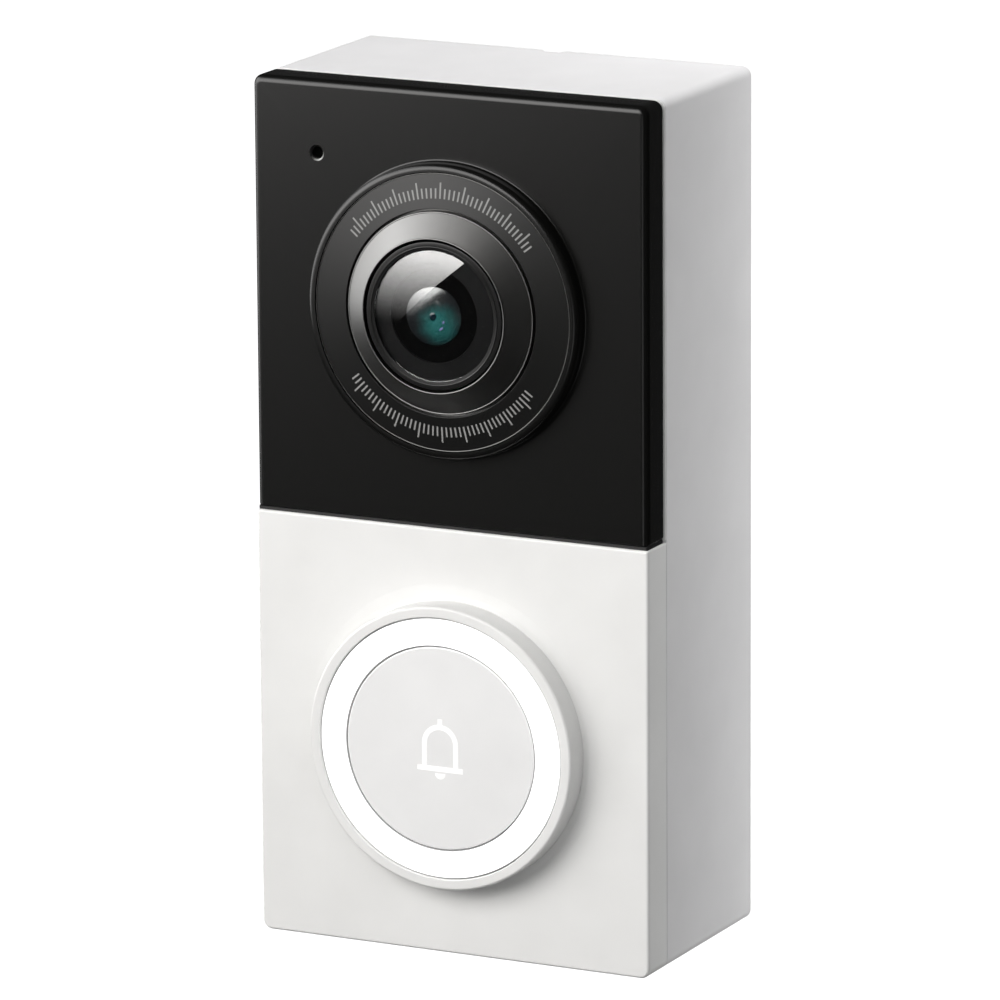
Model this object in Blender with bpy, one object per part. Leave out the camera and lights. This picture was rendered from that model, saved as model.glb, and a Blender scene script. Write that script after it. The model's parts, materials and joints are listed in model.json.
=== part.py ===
"""Video doorbell: wall plate, tilting housing, camera, lit push button and the parts inside.

Frame: metres, +Z up. The origin is the centre of the face that lies on the wall.
The front faces -Y, so a point further from the wall has a lower y.
"""
import math

import bmesh
import bpy
from mathutils import Vector

MM = 0.001

# Driving dimensions
BODY_WIDTH = 65.0 * MM
BODY_HEIGHT = 132.0 * MM
BODY_DEPTH = 37.0 * MM
CORNER_RADIUS = 1.5 * MM
WALL_THICKNESS = 2.2 * MM
REAR_RIM_GAP = 0.5 * MM
FRONT_SHELL_DEPTH = 6.15 * MM
CAMERA_Z = 33.0 * MM
BUTTON_Z = -33.1 * MM
CLEARANCE = 0.3 * MM

# Planes worked out from the driving dimensions
HALF_WIDTH = BODY_WIDTH / 2
HALF_HEIGHT = BODY_HEIGHT / 2
FRONT_Y = -BODY_DEPTH
SEAM_Y = FRONT_Y + FRONT_SHELL_DEPTH
REAR_RIM_Y = -REAR_RIM_GAP
PANEL_REAR_Y = -4.3 * MM
PANEL_FRONT_Y = -6.3 * MM
FRONT_WALL_Y = FRONT_Y + 1.8 * MM
CARRIER_FRONT_Y = FRONT_WALL_Y + CLEARANCE
CARRIER_REAR_Y = CARRIER_FRONT_Y + 1.6 * MM
SPLIT_Z = -0.15 * MM

# Camera and button
BOSS_RADIUS = 22.3 * MM
BOSS_FRONT_Y = FRONT_Y - 2.4 * MM
DISC_RADIUS = 20.9 * MM
CONE_RADIUS = 15.65 * MM
LENS_RING_RADIUS = 11.2 * MM
LENS_RING_Y = FRONT_Y - 5.3 * MM
RIM_RADIUS = 21.8 * MM
RIM_Y = FRONT_Y - 4.3 * MM
FLARE_RADIUS = 24.3 * MM
LIGHT_OUTER_RADIUS = 19.95 * MM
LIGHT_INNER_RADIUS = 15.85 * MM
CAP_RADIUS = 15.55 * MM
CAP_Y = FRONT_Y - 4.0 * MM

# Power, sound and fixing places
TERMINAL_Z = 27.0 * MM
PORT_Y = -9.6 * MM
RESET_X = 7.0 * MM
CELL_RADIUS = 9.2 * MM
CELL_LENGTH = 65.0 * MM
CELL_X = 9.7 * MM
CELL_Y = -16.2 * MM
CELL_BOTTOM_Z = -46.0 * MM
BOARD_REAR_Y = -27.0 * MM
BOARD_FRONT_Y = -28.2 * MM
SCREW_X = 25.6 * MM
SCREW_Z = 50.0 * MM
MIC_X = -22.1 * MM
MIC_Z = 55.4 * MM
FILTER_TRAVEL = 7.4 * MM
FILTER_SWING = math.radians(60.0)
ROTOR_RADIUS = FILTER_TRAVEL / 2 / math.sin(FILTER_SWING / 2)

# Sides of the large round pieces
CURVE = 40

# Joint axes, as points in the row frame
AXES = {
    "tilt_axis": (0, REAR_RIM_Y, -HALF_HEIGHT),
    "button_axis": (0, CAP_Y, BUTTON_Z),
    "switch_axis": (0, -30.0 * MM, BUTTON_Z),
    "port_hinge": (0, -5.7 * MM, -HALF_HEIGHT),
    "reset_axis": (RESET_X, PORT_Y, -65.0 * MM),
    "filter_axis": (0, -21.0 * MM, CAMERA_Z),
    "rotor_axis": (0, -21.0 * MM, CAMERA_Z + 9.2 * MM + ROTOR_RADIUS),
}


# ---------------------------------------------------------------- helpers

def remove_existing():
    """Empties the scene, so that the script can be run again in the same session."""
    for obj in list(bpy.data.objects):
        bpy.data.objects.remove(obj)


def make_material(name, color, roughness, metallic=0.0, alpha=1.0, glow=0.0):
    material = bpy.data.materials.new(name)
    material.use_nodes = True
    shader = material.node_tree.nodes["Principled BSDF"]
    shader.inputs["Base Color"].default_value = (*color, 1.0)
    shader.inputs["Roughness"].default_value = roughness
    shader.inputs["Metallic"].default_value = metallic
    shader.inputs["Alpha"].default_value = alpha
    shader.inputs["Emission Color"].default_value = (*color, 1.0)
    shader.inputs["Emission Strength"].default_value = glow
    return material


def link_mesh(name, mesh_data, material, parent):
    """Turns a bmesh in row coordinates into an object whose origin is on its parent's axis."""
    bmesh.ops.recalc_face_normals(mesh_data, faces=mesh_data.faces)
    mesh = bpy.data.meshes.new(name)
    origin = Vector(AXES[parent]) if parent else Vector((0, 0, 0))
    bmesh.ops.translate(mesh_data, verts=mesh_data.verts, vec=-origin)
    mesh_data.to_mesh(mesh)
    mesh_data.free()
    if material:
        mesh.materials.append(material)
    obj = bpy.data.objects.new(name, mesh)
    bpy.context.collection.objects.link(obj)
    if parent:
        obj.parent = bpy.data.objects[parent]
    return obj


def shade_round(obj, angle=35.0):
    obj.data.shade_smooth()
    obj.data.set_sharp_from_angle(angle=math.radians(angle))
    return obj


def along(axis, u, v, w):
    """A point with u and v across the axis and w along it."""
    if axis == "Y":
        return (u, w, v)
    if axis == "Z":
        return (u, v, w)
    return (w, u, v)


def bridge_rings(bm, rings):
    """Closes a stack of vertex rings, each a list of vertices or a single tip vertex."""
    for lower, upper in zip(rings, rings[1:]):
        count = max(len(lower), len(upper))
        for i in range(count):
            j = (i + 1) % count
            corners = [lower[i % len(lower)], lower[j % len(lower)]]
            corners += [upper[j % len(upper)], upper[i % len(upper)]]
            unique = list(dict.fromkeys(corners))
            if len(unique) > 2:
                bm.faces.new(unique)


def rounded_outline(rect, radii, segments):
    """Points round a rectangle (left, bottom, right, top) with a radius for each end."""
    left, bottom, right, top = rect
    low, high = radii
    corners = [
        (right - low, bottom + low, low, -90),
        (right - high, top - high, high, 0),
        (left + high, top - high, high, 90),
        (left + low, bottom + low, low, 180),
    ]
    points = []
    for u, v, radius, start in corners:
        for step in range(segments + 1):
            angle = math.radians(start + 90 * step / segments)
            points.append((u + radius * math.cos(angle), v + radius * math.sin(angle)))
    return points


def stack(name, rect, radii, levels, material=None, parent=None, axis="Y", segments=4):
    """A solid with a rounded outline. levels are (place along the axis, inset of the outline)."""
    left, bottom, right, top = rect
    bm = bmesh.new()
    rings = []
    for place, inset in levels:
        inner = (left + inset, bottom + inset, right - inset, top - inset)
        shrunk = [max(radius - inset, 0.05 * MM) for radius in radii]
        outline = rounded_outline(inner, shrunk, segments)
        rings.append([bm.verts.new(along(axis, u, v, place)) for u, v in outline])
    bridge_rings(bm, rings)
    bm.faces.new(rings[0])
    bm.faces.new(rings[-1])
    return link_mesh(name, bm, material, parent)


def prism(name, outline, start, end, material=None, parent=None, axis="Y"):
    """An outline of (u, v) points pushed along an axis from start to end."""
    bm = bmesh.new()
    rings = [[bm.verts.new(along(axis, u, v, place)) for u, v in outline] for place in (start, end)]
    bridge_rings(bm, rings)
    bm.faces.new(rings[0])
    bm.faces.new(rings[1])
    return link_mesh(name, bm, material, parent)


def block(name, low, high, material=None, parent=None):
    outline = [(low[0], low[2]), (high[0], low[2]), (high[0], high[2]), (low[0], high[2])]
    return prism(name, outline, low[1], high[1], material, parent)


def turned(name, centre, profile, material=None, parent=None, axis="Y", segments=32, ring=False):
    """A turned solid about an axis through centre (u, v). profile is a list of (radius, place).

    ring joins the profile's last point to its first, for a piece with a hole through it.
    """
    bm = bmesh.new()
    rings = []
    for radius, place in profile:
        if radius == 0:
            rings.append([bm.verts.new(along(axis, centre[0], centre[1], place))])
            continue
        verts = []
        for step in range(segments):
            angle = 2 * math.pi * step / segments
            u = centre[0] + radius * math.cos(angle)
            v = centre[1] + radius * math.sin(angle)
            verts.append(bm.verts.new(along(axis, u, v, place)))
        rings.append(verts)
    if ring:
        rings.append(rings[0])
    bridge_rings(bm, rings)
    if not ring:
        for end in (rings[0], rings[-1]):
            if len(end) > 2:
                bm.faces.new(end)
    return shade_round(link_mesh(name, bm, material, parent))


def arc(centre, radius, start, end, steps):
    """Points along an arc in a profile, with angles in degrees."""
    points = []
    for step in range(steps + 1):
        angle = math.radians(start + (end - start) * step / steps)
        points.append((centre[0] + radius * math.cos(angle), centre[1] + radius * math.sin(angle)))
    return points


def combine(obj, operation, others):
    """Adds one Boolean for each other solid, and hides those solids as guides."""
    for other in others:
        other.hide_render = True
        other.display_type = "WIRE"
        modifier = obj.modifiers.new(other.name, "BOOLEAN")
        modifier.operation = operation
        modifier.solver = "EXACT"
        modifier.object = other
    return obj


def cut(obj, *cutters):
    return combine(obj, "DIFFERENCE", cutters)


def fuse(obj, *pieces):
    return combine(obj, "UNION", pieces)


def body_rect(inset=0.0, bottom=-HALF_HEIGHT, top=HALF_HEIGHT):
    """The body's outline, moved in by inset on each side, between two heights."""
    return (-HALF_WIDTH + inset, bottom + inset, HALF_WIDTH - inset, top - inset)


def centred(width, height, u=0.0, v=0.0):
    return (u - width / 2, v - height / 2, u + width / 2, v + height / 2)


def guide_stack(name, rect, radius, start, end, parent=None, axis="Y", segments=3):
    return stack(name, rect, (radius, radius), [(start, 0), (end, 0)], None, parent, axis, segments)


def guide_bore(name, centre, radius, start, end, parent=None, axis="Y", segments=24):
    return turned(name, centre, [(radius, start), (radius, end)], None, parent, axis, segments)


# ---------------------------------------------------------------- wall side

PLATE_FRONT_Y = -2.6 * MM
LUG_X = 18.0 * MM
LUG_Z = -55.0 * MM
WIRE_WINDOW = centred(24 * MM, 14 * MM, 0, TERMINAL_Z)
SLOT_RADIUS = 2.6 * MM


def make_wall_plate(material):
    plate = stack("wall_plate", centred(59 * MM, 124 * MM), (3 * MM, 3 * MM),
                  [(0, 0), (PLATE_FRONT_Y + 0.5 * MM, 0), (PLATE_FRONT_Y, 0.5 * MM)], material)
    for side in (-1, 1):
        low = (side * LUG_X - 4 * MM, -4.9 * MM, LUG_Z - 1.5 * MM)
        high = (side * LUG_X + 4 * MM, PLATE_FRONT_Y + CLEARANCE, LUG_Z + 1.5 * MM)
        fuse(plate, block(f"lug_guide_{side}", low, high))
    behind = 1 * MM
    before = PLATE_FRONT_Y - 1 * MM
    slots = [centred(5.2 * MM, 10 * MM, 0, 44 * MM), centred(10 * MM, 5.2 * MM, 0, -44 * MM)]
    for index, slot in enumerate(slots):
        cut(plate, guide_stack(f"slot_guide_{index}", slot, SLOT_RADIUS - 0.01 * MM, behind, before))
    cut(plate, guide_stack("wire_window_guide", WIRE_WINDOW, 2 * MM, behind, before))
    latch_gap = (-5.5 * MM, 50.5 * MM, 5.5 * MM, 70 * MM)
    return cut(plate, guide_stack("latch_gap_guide", latch_gap, 0.5 * MM, behind, before))


def make_latch_spring(material):
    """A leaf standing in the wall plate's top gap, with a hook that holds the housing's lip."""
    outline = [(-0.9, 50.9), (-1.6, 50.9), (-1.6, 62.2), (-3.0, 62.2),
               (-3.0, 64.0), (-2.6, 64.5), (-2.2, 64.0), (-2.2, 63.0), (-0.9, 63.0)]
    points = [(y * MM, z * MM) for y, z in outline]
    return prism("latch_spring", points, -4 * MM, 4 * MM, material, axis="X")


# ---------------------------------------------------------------- housing shells

TILT = "tilt_axis"
SPEAKER_SLOTS = 7
SPEAKER_SLOT_PITCH = 3.6 * MM
SPEAKER_Y = -20.4 * MM
PORT_RECESS = centred(18.4 * MM, 8.6 * MM, 0, PORT_Y)


def cavity(name, inset, start, end):
    """A pocket with the body's outline, moved in by inset."""
    return guide_stack(name, body_rect(inset), 1 * MM, start, end, TILT)


def cut_rear_openings(housing):
    past = 1 * MM
    terminal = centred(24 * MM, 12.4 * MM, 0, TERMINAL_Z)
    cut(housing, guide_stack("terminal_guide", terminal, 1 * MM, PANEL_FRONT_Y - past,
                             PANEL_REAR_Y + past, TILT))
    for side in (-1, 1):
        pocket = centred(9.4 * MM, 6.4 * MM, side * LUG_X, LUG_Z)
        cut(housing, guide_stack(f"lug_pocket_guide_{side}", pocket, 0.5 * MM,
                                 PANEL_FRONT_Y - past, PANEL_REAR_Y + past, TILT))
    for x, z in screw_places():
        cut(housing, guide_bore(f"case_bore_guide_{x:.3f}_{z:.3f}", (x, z), 1.6 * MM,
                                PANEL_FRONT_Y - past, PANEL_REAR_Y + past, TILT, segments=16))
    groove = block("latch_groove_guide", (-5 * MM, -3.5 * MM, 63 * MM), (5 * MM, -1.8 * MM, 65 * MM),
                   None, TILT)
    notch = [(-2.0 * MM, 0.5 * MM), (-2.0 * MM, REAR_RIM_Y), (-1.2 * MM, REAR_RIM_Y - 1.4 * MM),
             (1.2 * MM, REAR_RIM_Y - 1.4 * MM), (2.0 * MM, REAR_RIM_Y), (2.0 * MM, 0.5 * MM)]
    release = prism("release_notch_guide", notch, 63 * MM, 67 * MM, None, TILT, axis="Z")
    return cut(housing, groove, release)


def cut_bottom_openings(housing):
    below = -67 * MM
    inside = -62 * MM
    for index in range(SPEAKER_SLOTS):
        x = (index - (SPEAKER_SLOTS - 1) / 2) * SPEAKER_SLOT_PITCH
        slot = centred(1.6 * MM, 8.0 * MM, x, SPEAKER_Y)
        cut(housing, guide_stack(f"speaker_slot_guide_{index}", slot, 0.78 * MM, below, inside,
                                 TILT, axis="Z"))
    recess = guide_stack("port_recess_guide", PORT_RECESS, 1 * MM, below, -64.8 * MM, TILT, axis="Z")
    port = centred(10.2 * MM, 4.6 * MM, 0, PORT_Y)
    opening = guide_stack("port_guide", port, 2 * MM, below, inside, TILT, axis="Z")
    reset = guide_bore("reset_hole_guide", (RESET_X, PORT_Y), 1.1 * MM, below, inside, TILT,
                       axis="Z", segments=16)
    return cut(housing, recess, opening, reset)


def make_rear_housing(material):
    chamfer = 0.5 * MM
    housing = stack("rear_housing", body_rect(), (CORNER_RADIUS, CORNER_RADIUS),
                    [(REAR_RIM_Y, chamfer), (REAR_RIM_Y - chamfer, 0), (SEAM_Y + CLEARANCE, 0)],
                    material, TILT)
    past = 1 * MM
    ledge_rear = -27.7 * MM
    ledge_front = -29.0 * MM
    ledge_inset = 3.7 * MM
    cut(housing,
        cavity("recess_guide", 2.0 * MM, past, PANEL_REAR_Y),
        cavity("main_cavity_guide", WALL_THICKNESS, PANEL_FRONT_Y, ledge_rear),
        cavity("ledge_guide", ledge_inset, ledge_rear + past, ledge_front - past),
        cavity("front_cavity_guide", WALL_THICKNESS, ledge_front, SEAM_Y - past))
    cut_rear_openings(housing)
    return cut_bottom_openings(housing)


def make_housing_seal(material):
    seal = stack("housing_seal", body_rect(2.5 * MM), (0.8 * MM, 0.8 * MM),
                 [(-29.3 * MM, 0), (-30.6 * MM, 0)], material, TILT, segments=2)
    return cut(seal, cavity("seal_guide", 3.5 * MM, -28 * MM, -32 * MM))


def screw_places():
    return [(x, z) for z in (-SCREW_Z, SCREW_Z) for x in (-SCREW_X, SCREW_X)]


def make_case_screw(index, place, material):
    head_y = -3.0 * MM
    seat_y = -4.0 * MM
    profile = [(0, head_y - 0.6 * MM), (1.0 * MM, head_y - 0.6 * MM), (1.1 * MM, head_y),
               (2.1 * MM, head_y), (2.4 * MM, head_y - 0.3 * MM), (2.4 * MM, seat_y),
               (1.25 * MM, seat_y), (1.25 * MM, -16 * MM), (0, -17 * MM)]
    return turned(f"case_screw_{index}", place, profile, material, TILT, segments=12)


def pedestal_profile():
    """The raised ring round the button: a concave flare, a rounded rim and a straight bore."""
    root = FRONT_Y + 1 * MM
    flare = FLARE_RADIUS - RIM_RADIUS
    cove = arc((FLARE_RADIUS, FRONT_Y - flare), flare, 90, 180, 4)
    edge = arc((RIM_RADIUS - 0.5 * MM, RIM_Y + 0.5 * MM), 0.5 * MM, 0, -90, 2)
    bore = LIGHT_OUTER_RADIUS + 0.2 * MM
    return [(bore, root), (FLARE_RADIUS, root), *cove, *edge, (bore, RIM_Y)]


def make_front_frame(material):
    """White front: full depth below the split, and a recessed carrier for the cover above it."""
    fillet = 0.5 * MM
    rear_y = SEAM_Y
    lower = body_rect(top=SPLIT_Z - CLEARANCE)
    frame = stack("front_frame", lower, (CORNER_RADIUS, 0.3 * MM),
                  [(rear_y, 0), (FRONT_Y + fillet, 0), (FRONT_Y + 0.2 * MM, 0.2 * MM), (FRONT_Y, fillet)],
                  material, TILT)
    lip = stack("lip_guide", body_rect(bottom=-1 * MM), (0.3 * MM, CORNER_RADIUS),
                [(rear_y, 0), (SEAM_Y - 0.35 * MM, 0)], None, TILT)
    skirt = guide_stack("carrier_guide", body_rect(2.3 * MM, bottom=-4 * MM), 1 * MM, rear_y,
                        CARRIER_FRONT_Y, TILT)
    pedestal = turned("pedestal_guide", (0, BUTTON_Z), pedestal_profile(), None, TILT,
                      segments=CURVE, ring=True)
    fuse(frame, lip, skirt, pedestal)
    past = 1 * MM
    inner = body_rect(3.9 * MM)
    lower_room = (inner[0], inner[1], inner[2], -2 * MM)
    upper_room = (inner[0], -3 * MM, inner[2], inner[3])
    cut(frame,
        guide_stack("lower_room_guide", lower_room, 1 * MM, rear_y + past, FRONT_WALL_Y, TILT),
        guide_stack("upper_room_guide", upper_room, 1 * MM, rear_y + past, CARRIER_REAR_Y, TILT),
        guide_bore("button_bore_guide", (0, BUTTON_Z), LIGHT_OUTER_RADIUS + 0.2 * MM,
                   FRONT_WALL_Y + past, RIM_Y - past, TILT, segments=CURVE),
        guide_bore("camera_bore_guide", (0, CAMERA_Z), 21.0 * MM, CARRIER_REAR_Y + past,
                   CARRIER_FRONT_Y - past, TILT, segments=32),
        guide_bore("sound_bore_guide", (MIC_X, MIC_Z), 3.0 * MM, CARRIER_REAR_Y + past,
                   CARRIER_FRONT_Y - past, TILT, segments=16))
    for index, (x, z) in enumerate(screw_places()):
        front = CARRIER_FRONT_Y + 0.5 * MM if z > 0 else FRONT_WALL_Y - 0.5 * MM
        post = guide_bore(f"post_guide_{index}", (x, z), 2.6 * MM, PANEL_FRONT_Y - 0.6 * MM,
                          front, TILT, segments=12)
        bore = guide_bore(f"post_bore_guide_{index}", (x, z), 1.6 * MM, PANEL_FRONT_Y + past,
                          -18.5 * MM, TILT, segments=12)
        fuse(frame, post)
        cut(frame, bore)
    return frame


# ---------------------------------------------------------------- camera

IR_LED_ANGLES = (45, 135, 225, 315)
IR_LED_RADIUS = 18.0 * MM


def ir_places():
    places = []
    for angle in IR_LED_ANGLES:
        turn = math.radians(angle)
        places.append((IR_LED_RADIUS * math.cos(turn), CAMERA_Z + IR_LED_RADIUS * math.sin(turn)))
    return places


def boss_profile():
    """The cover's round boss: rounded front edge, a seat for the disc and a room behind it."""
    edge_radius = 0.9 * MM
    root_y = FRONT_Y + 1.1 * MM
    seat_y = FRONT_Y - 1.0 * MM
    floor_y = FRONT_Y - 0.1 * MM
    seat_radius = DISC_RADIUS + 0.2 * MM
    bore_radius = CONE_RADIUS + 0.5 * MM
    room_radius = 20.2 * MM
    edge = arc((BOSS_RADIUS - edge_radius, BOSS_FRONT_Y + edge_radius), edge_radius, 0, -90, 3)
    return [(BOSS_RADIUS, root_y), *edge, (seat_radius, BOSS_FRONT_Y), (seat_radius, seat_y),
            (bore_radius, seat_y), (bore_radius, floor_y), (room_radius, floor_y), (room_radius, root_y)]


def make_camera_cover(material):
    """The black front cover: a shallow cup, open at its lower edge, with the camera boss."""
    side_inset = 0.05 * MM
    rear_y = SEAM_Y - 0.65 * MM
    fillet = 1.0 * MM
    rect = body_rect(side_inset, bottom=SPLIT_Z, top=HALF_HEIGHT)
    edge = arc((fillet, FRONT_Y + fillet), fillet, 180, 270, 3)
    levels = [(rear_y, 0)] + [(place, inset) for inset, place in edge]
    cover = stack("camera_cover", rect, (0.5 * MM, CORNER_RADIUS), levels, material, TILT)
    room = body_rect(2.0 * MM, bottom=-6 * MM)
    past = 1 * MM
    cut(cover,
        guide_stack("cover_room_guide", room, 0.8 * MM, rear_y + past, FRONT_WALL_Y, TILT),
        guide_bore("boss_hole_guide", (0, CAMERA_Z), 21.6 * MM, FRONT_WALL_Y + past, FRONT_Y - past,
                   TILT, segments=CURVE),
        guide_bore("mic_hole_guide", (MIC_X, MIC_Z), 1.05 * MM, FRONT_WALL_Y + past, FRONT_Y - past,
                   TILT, segments=16))
    boss = turned("boss_guide", (0, CAMERA_Z), boss_profile(), None, TILT, segments=CURVE, ring=True)
    for index, place in enumerate(ir_places()):
        cut(boss, guide_bore(f"ir_window_guide_{index}", place, 1.5 * MM, FRONT_Y + past,
                             BOSS_FRONT_Y - past, TILT, segments=10))
    return fuse(cover, boss)


def make_lens_trim_disc(material):
    back_y = FRONT_Y - 1.25 * MM
    front_y = BOSS_FRONT_Y + 0.04 * MM
    inner = CONE_RADIUS + 0.2 * MM
    profile = [(inner, back_y), (DISC_RADIUS, back_y), (DISC_RADIUS, front_y), (inner, front_y)]
    return turned("lens_trim_disc", (0, CAMERA_Z), profile, material, TILT, segments=CURVE, ring=True)


def make_lens_cone_ring(material):
    """A convex cone from the disc up to the lens, hollow behind."""
    outer = [(CONE_RADIUS, -37.6 * MM), (CONE_RADIUS, -39.3 * MM), (14.2 * MM, -41.1 * MM),
             (11.9 * MM, LENS_RING_Y)]
    inner = [(11.4 * MM, LENS_RING_Y), (11.4 * MM, -40.0 * MM), (14.6 * MM, -38.6 * MM),
             (14.6 * MM, -37.6 * MM)]
    return turned("lens_cone_ring", (0, CAMERA_Z), outer + inner, material, TILT, segments=CURVE, ring=True)


def make_lens_retaining_ring(material):
    front_y = LENS_RING_Y
    outer = LENS_RING_RADIUS - 0.1 * MM
    profile = [(10.2 * MM, -40.4 * MM), (outer, -40.4 * MM), (outer, front_y), (10.2 * MM, front_y)]
    return turned("lens_retaining_ring", (0, CAMERA_Z), profile, material, TILT, segments=32, ring=True)


def sphere_cap(rim_radius, rim_y, sag, steps):
    """Profile points of a spherical cap from its tip to its rim, bulging towards -Y."""
    radius = (rim_radius ** 2 + sag ** 2) / (2 * sag)
    half_angle = math.asin(rim_radius / radius)
    centre_y = rim_y - sag + radius
    points = []
    for step in range(steps + 1):
        angle = half_angle * step / steps
        points.append((radius * math.sin(angle), centre_y - radius * math.cos(angle)))
    points[0] = (0, rim_y - sag)
    return points


def make_lens_dome(material):
    outer = sphere_cap(9.9 * MM, -41.7 * MM, 0.9 * MM, 3)
    inner = sphere_cap(9.9 * MM, -40.8 * MM, 0.9 * MM, 3)
    return turned("lens_dome", (0, CAMERA_Z), outer + inner[::-1], material, TILT, segments=32)


def make_iris_ring(material):
    profile = [(9.7 * MM, -39.9 * MM), (7.4 * MM, -39.6 * MM), (6.2 * MM, -38.9 * MM),
               (6.2 * MM, -38.5 * MM), (7.4 * MM, -38.9 * MM), (9.7 * MM, -39.3 * MM)]
    return turned("iris_ring", (0, CAMERA_Z), profile, material, TILT, segments=32, ring=True)


def make_lens_element(name, rim_radius, front_y, back_y, sag, material):
    """A biconvex element."""
    front = sphere_cap(rim_radius, front_y, sag, 3)
    back = [(radius, 2 * back_y - place) for radius, place in sphere_cap(rim_radius, back_y, sag, 3)]
    return turned(name, (0, CAMERA_Z), front + back[::-1], material, TILT, segments=24)


def make_lens_barrel(material):
    profile = [(6.0 * MM, -38.1 * MM), (9.0 * MM, -38.1 * MM), (9.0 * MM, -36.5 * MM),
               (7.4 * MM, -36.5 * MM), (7.4 * MM, -26.5 * MM), (4.4 * MM, -26.5 * MM),
               (4.4 * MM, -28.0 * MM), (6.0 * MM, -28.0 * MM)]
    return turned("lens_barrel", (0, CAMERA_Z), profile, material, TILT, segments=24, ring=True)


def make_lens_holder(material):
    holder = stack("lens_holder", centred(26 * MM, 21 * MM, 0, CAMERA_Z), (1 * MM, 1 * MM),
                   [(-22.9 * MM, 0), (-25.4 * MM, 0)], material, TILT, segments=2)
    tube = guide_bore("holder_tube_guide", (0, CAMERA_Z), 10.0 * MM, -24 * MM, -34.5 * MM, TILT)
    bore = guide_bore("holder_bore_guide", (0, CAMERA_Z), 7.7 * MM, -22 * MM, -36 * MM, TILT)
    fuse(holder, tube)
    return cut(holder, bore)


FRAME_TOP_Z = CAMERA_Z + 20.6 * MM
TRAY_TOP_Z = CAMERA_Z + 12.4 * MM
FILTER_WINDOW = 3.1 * MM


def make_ir_filter_frame(material):
    """The guide behind the lens: a plate with a channel for the sliding tray."""
    frame = block("ir_filter_frame", (-13 * MM, -22.6 * MM, CAMERA_Z - 8 * MM),
                  (13 * MM, -19.6 * MM, FRAME_TOP_Z), material, TILT)
    channel = block("filter_channel_guide", (-12 * MM, -21.9 * MM, CAMERA_Z - 5 * MM),
                    (12 * MM, -18 * MM, FRAME_TOP_Z - 0.8 * MM), None, TILT)
    window = guide_bore("filter_window_guide", (0, CAMERA_Z), 3.6 * MM, -24 * MM, -18 * MM, TILT)
    return cut(frame, channel, window)


def make_ir_filter_tray(material):
    """A tray with a filter window in front of the sensor and an open one beside it."""
    tray = block("ir_filter_tray", (-FILTER_TRAVEL - 3.9 * MM, -21.6 * MM, CAMERA_Z - 4.2 * MM),
                 (4.1 * MM, -20.6 * MM, CAMERA_Z + 4.2 * MM), material, "filter_axis")
    middle = -FILTER_TRAVEL / 2
    tail = block("tray_tail_guide", (middle - 2.2 * MM, -21.6 * MM, CAMERA_Z + 3 * MM),
                 (middle + 2.2 * MM, -20.6 * MM, TRAY_TOP_Z), None, "filter_axis")
    slot = block("tray_slot_guide", (middle - 1 * MM, -22 * MM, CAMERA_Z + 7.4 * MM),
                 (middle + 1 * MM, -20 * MM, TRAY_TOP_Z + 1 * MM), None, "filter_axis")
    fuse(tray, tail)
    cut(tray, slot)
    for index, x in enumerate((0, -FILTER_TRAVEL)):
        cut(tray, guide_bore(f"tray_window_guide_{index}", (x, CAMERA_Z), FILTER_WINDOW, -23 * MM,
                             -19 * MM, "filter_axis", segments=20))
    return tray


def make_ir_filter_glass(material):
    radius = FILTER_WINDOW - CLEARANCE
    profile = [(radius, -21.4 * MM), (radius, -20.8 * MM)]
    return turned("ir_filter_glass", (0, CAMERA_Z), profile, material, "filter_axis", segments=20)


def make_ir_filter_rotor(material):
    """A magnet drum with a crank pin that stands in the tray's slot."""
    axis_x, _, axis_z = AXES["rotor_axis"]
    start = -math.pi / 2 - FILTER_SWING / 2
    drum = turned("ir_filter_rotor", (axis_x, axis_z), [(2.4 * MM, -20.3 * MM), (2.4 * MM, -18.2 * MM)],
                  material, "rotor_axis", segments=16)
    root = Vector((axis_x, axis_z))
    outward = Vector((math.cos(start), math.sin(start)))
    across = Vector((-outward.y, outward.x)) * 0.9 * MM
    pin = root + outward * ROTOR_RADIUS
    tip = pin + outward * 0.8 * MM
    outline = [tuple(root - across), tuple(tip - across), tuple(tip + across), tuple(root + across)]
    arm = prism("crank_guide", outline, -20.2 * MM, -19.3 * MM, None, "rotor_axis")
    peg = guide_bore("crank_pin_guide", tuple(pin), 0.7 * MM, -19.6 * MM, -21.3 * MM,
                     "rotor_axis", segments=12)
    return fuse(drum, arm, peg)


def make_sensor(board_material, sensor_material):
    block("image_sensor", (-4 * MM, -17.9 * MM, CAMERA_Z - 3 * MM), (4 * MM, -16.9 * MM, CAMERA_Z + 3 * MM),
          sensor_material, TILT)
    block("camera_board", (-13 * MM, -16.6 * MM, CAMERA_Z - 10 * MM),
          (13 * MM, -15.6 * MM, CAMERA_Z + 19 * MM), board_material, TILT)


def make_ir_lights(board_material, led_material, sensor_material):
    profile = [(11.6 * MM, -35.2 * MM), (19.8 * MM, -35.2 * MM), (19.8 * MM, -36.0 * MM), (11.6 * MM, -36.0 * MM)]
    turned("ir_led_board", (0, CAMERA_Z), profile, board_material, TILT, segments=32, ring=True)
    for index, place in enumerate(ir_places()):
        led = [(1.15 * MM, -36.3 * MM), (1.15 * MM, -37.3 * MM), (0.8 * MM, -37.7 * MM), (0, -37.8 * MM)]
        turned(f"ir_led_{index + 1}", place, led, led_material, TILT, segments=10)
    x = IR_LED_RADIUS
    block("light_sensor", (x - 1 * MM, -36.75 * MM, CAMERA_Z - 1.2 * MM),
          (x + 1 * MM, -36.3 * MM, CAMERA_Z + 1.2 * MM), sensor_material, TILT)


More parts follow.
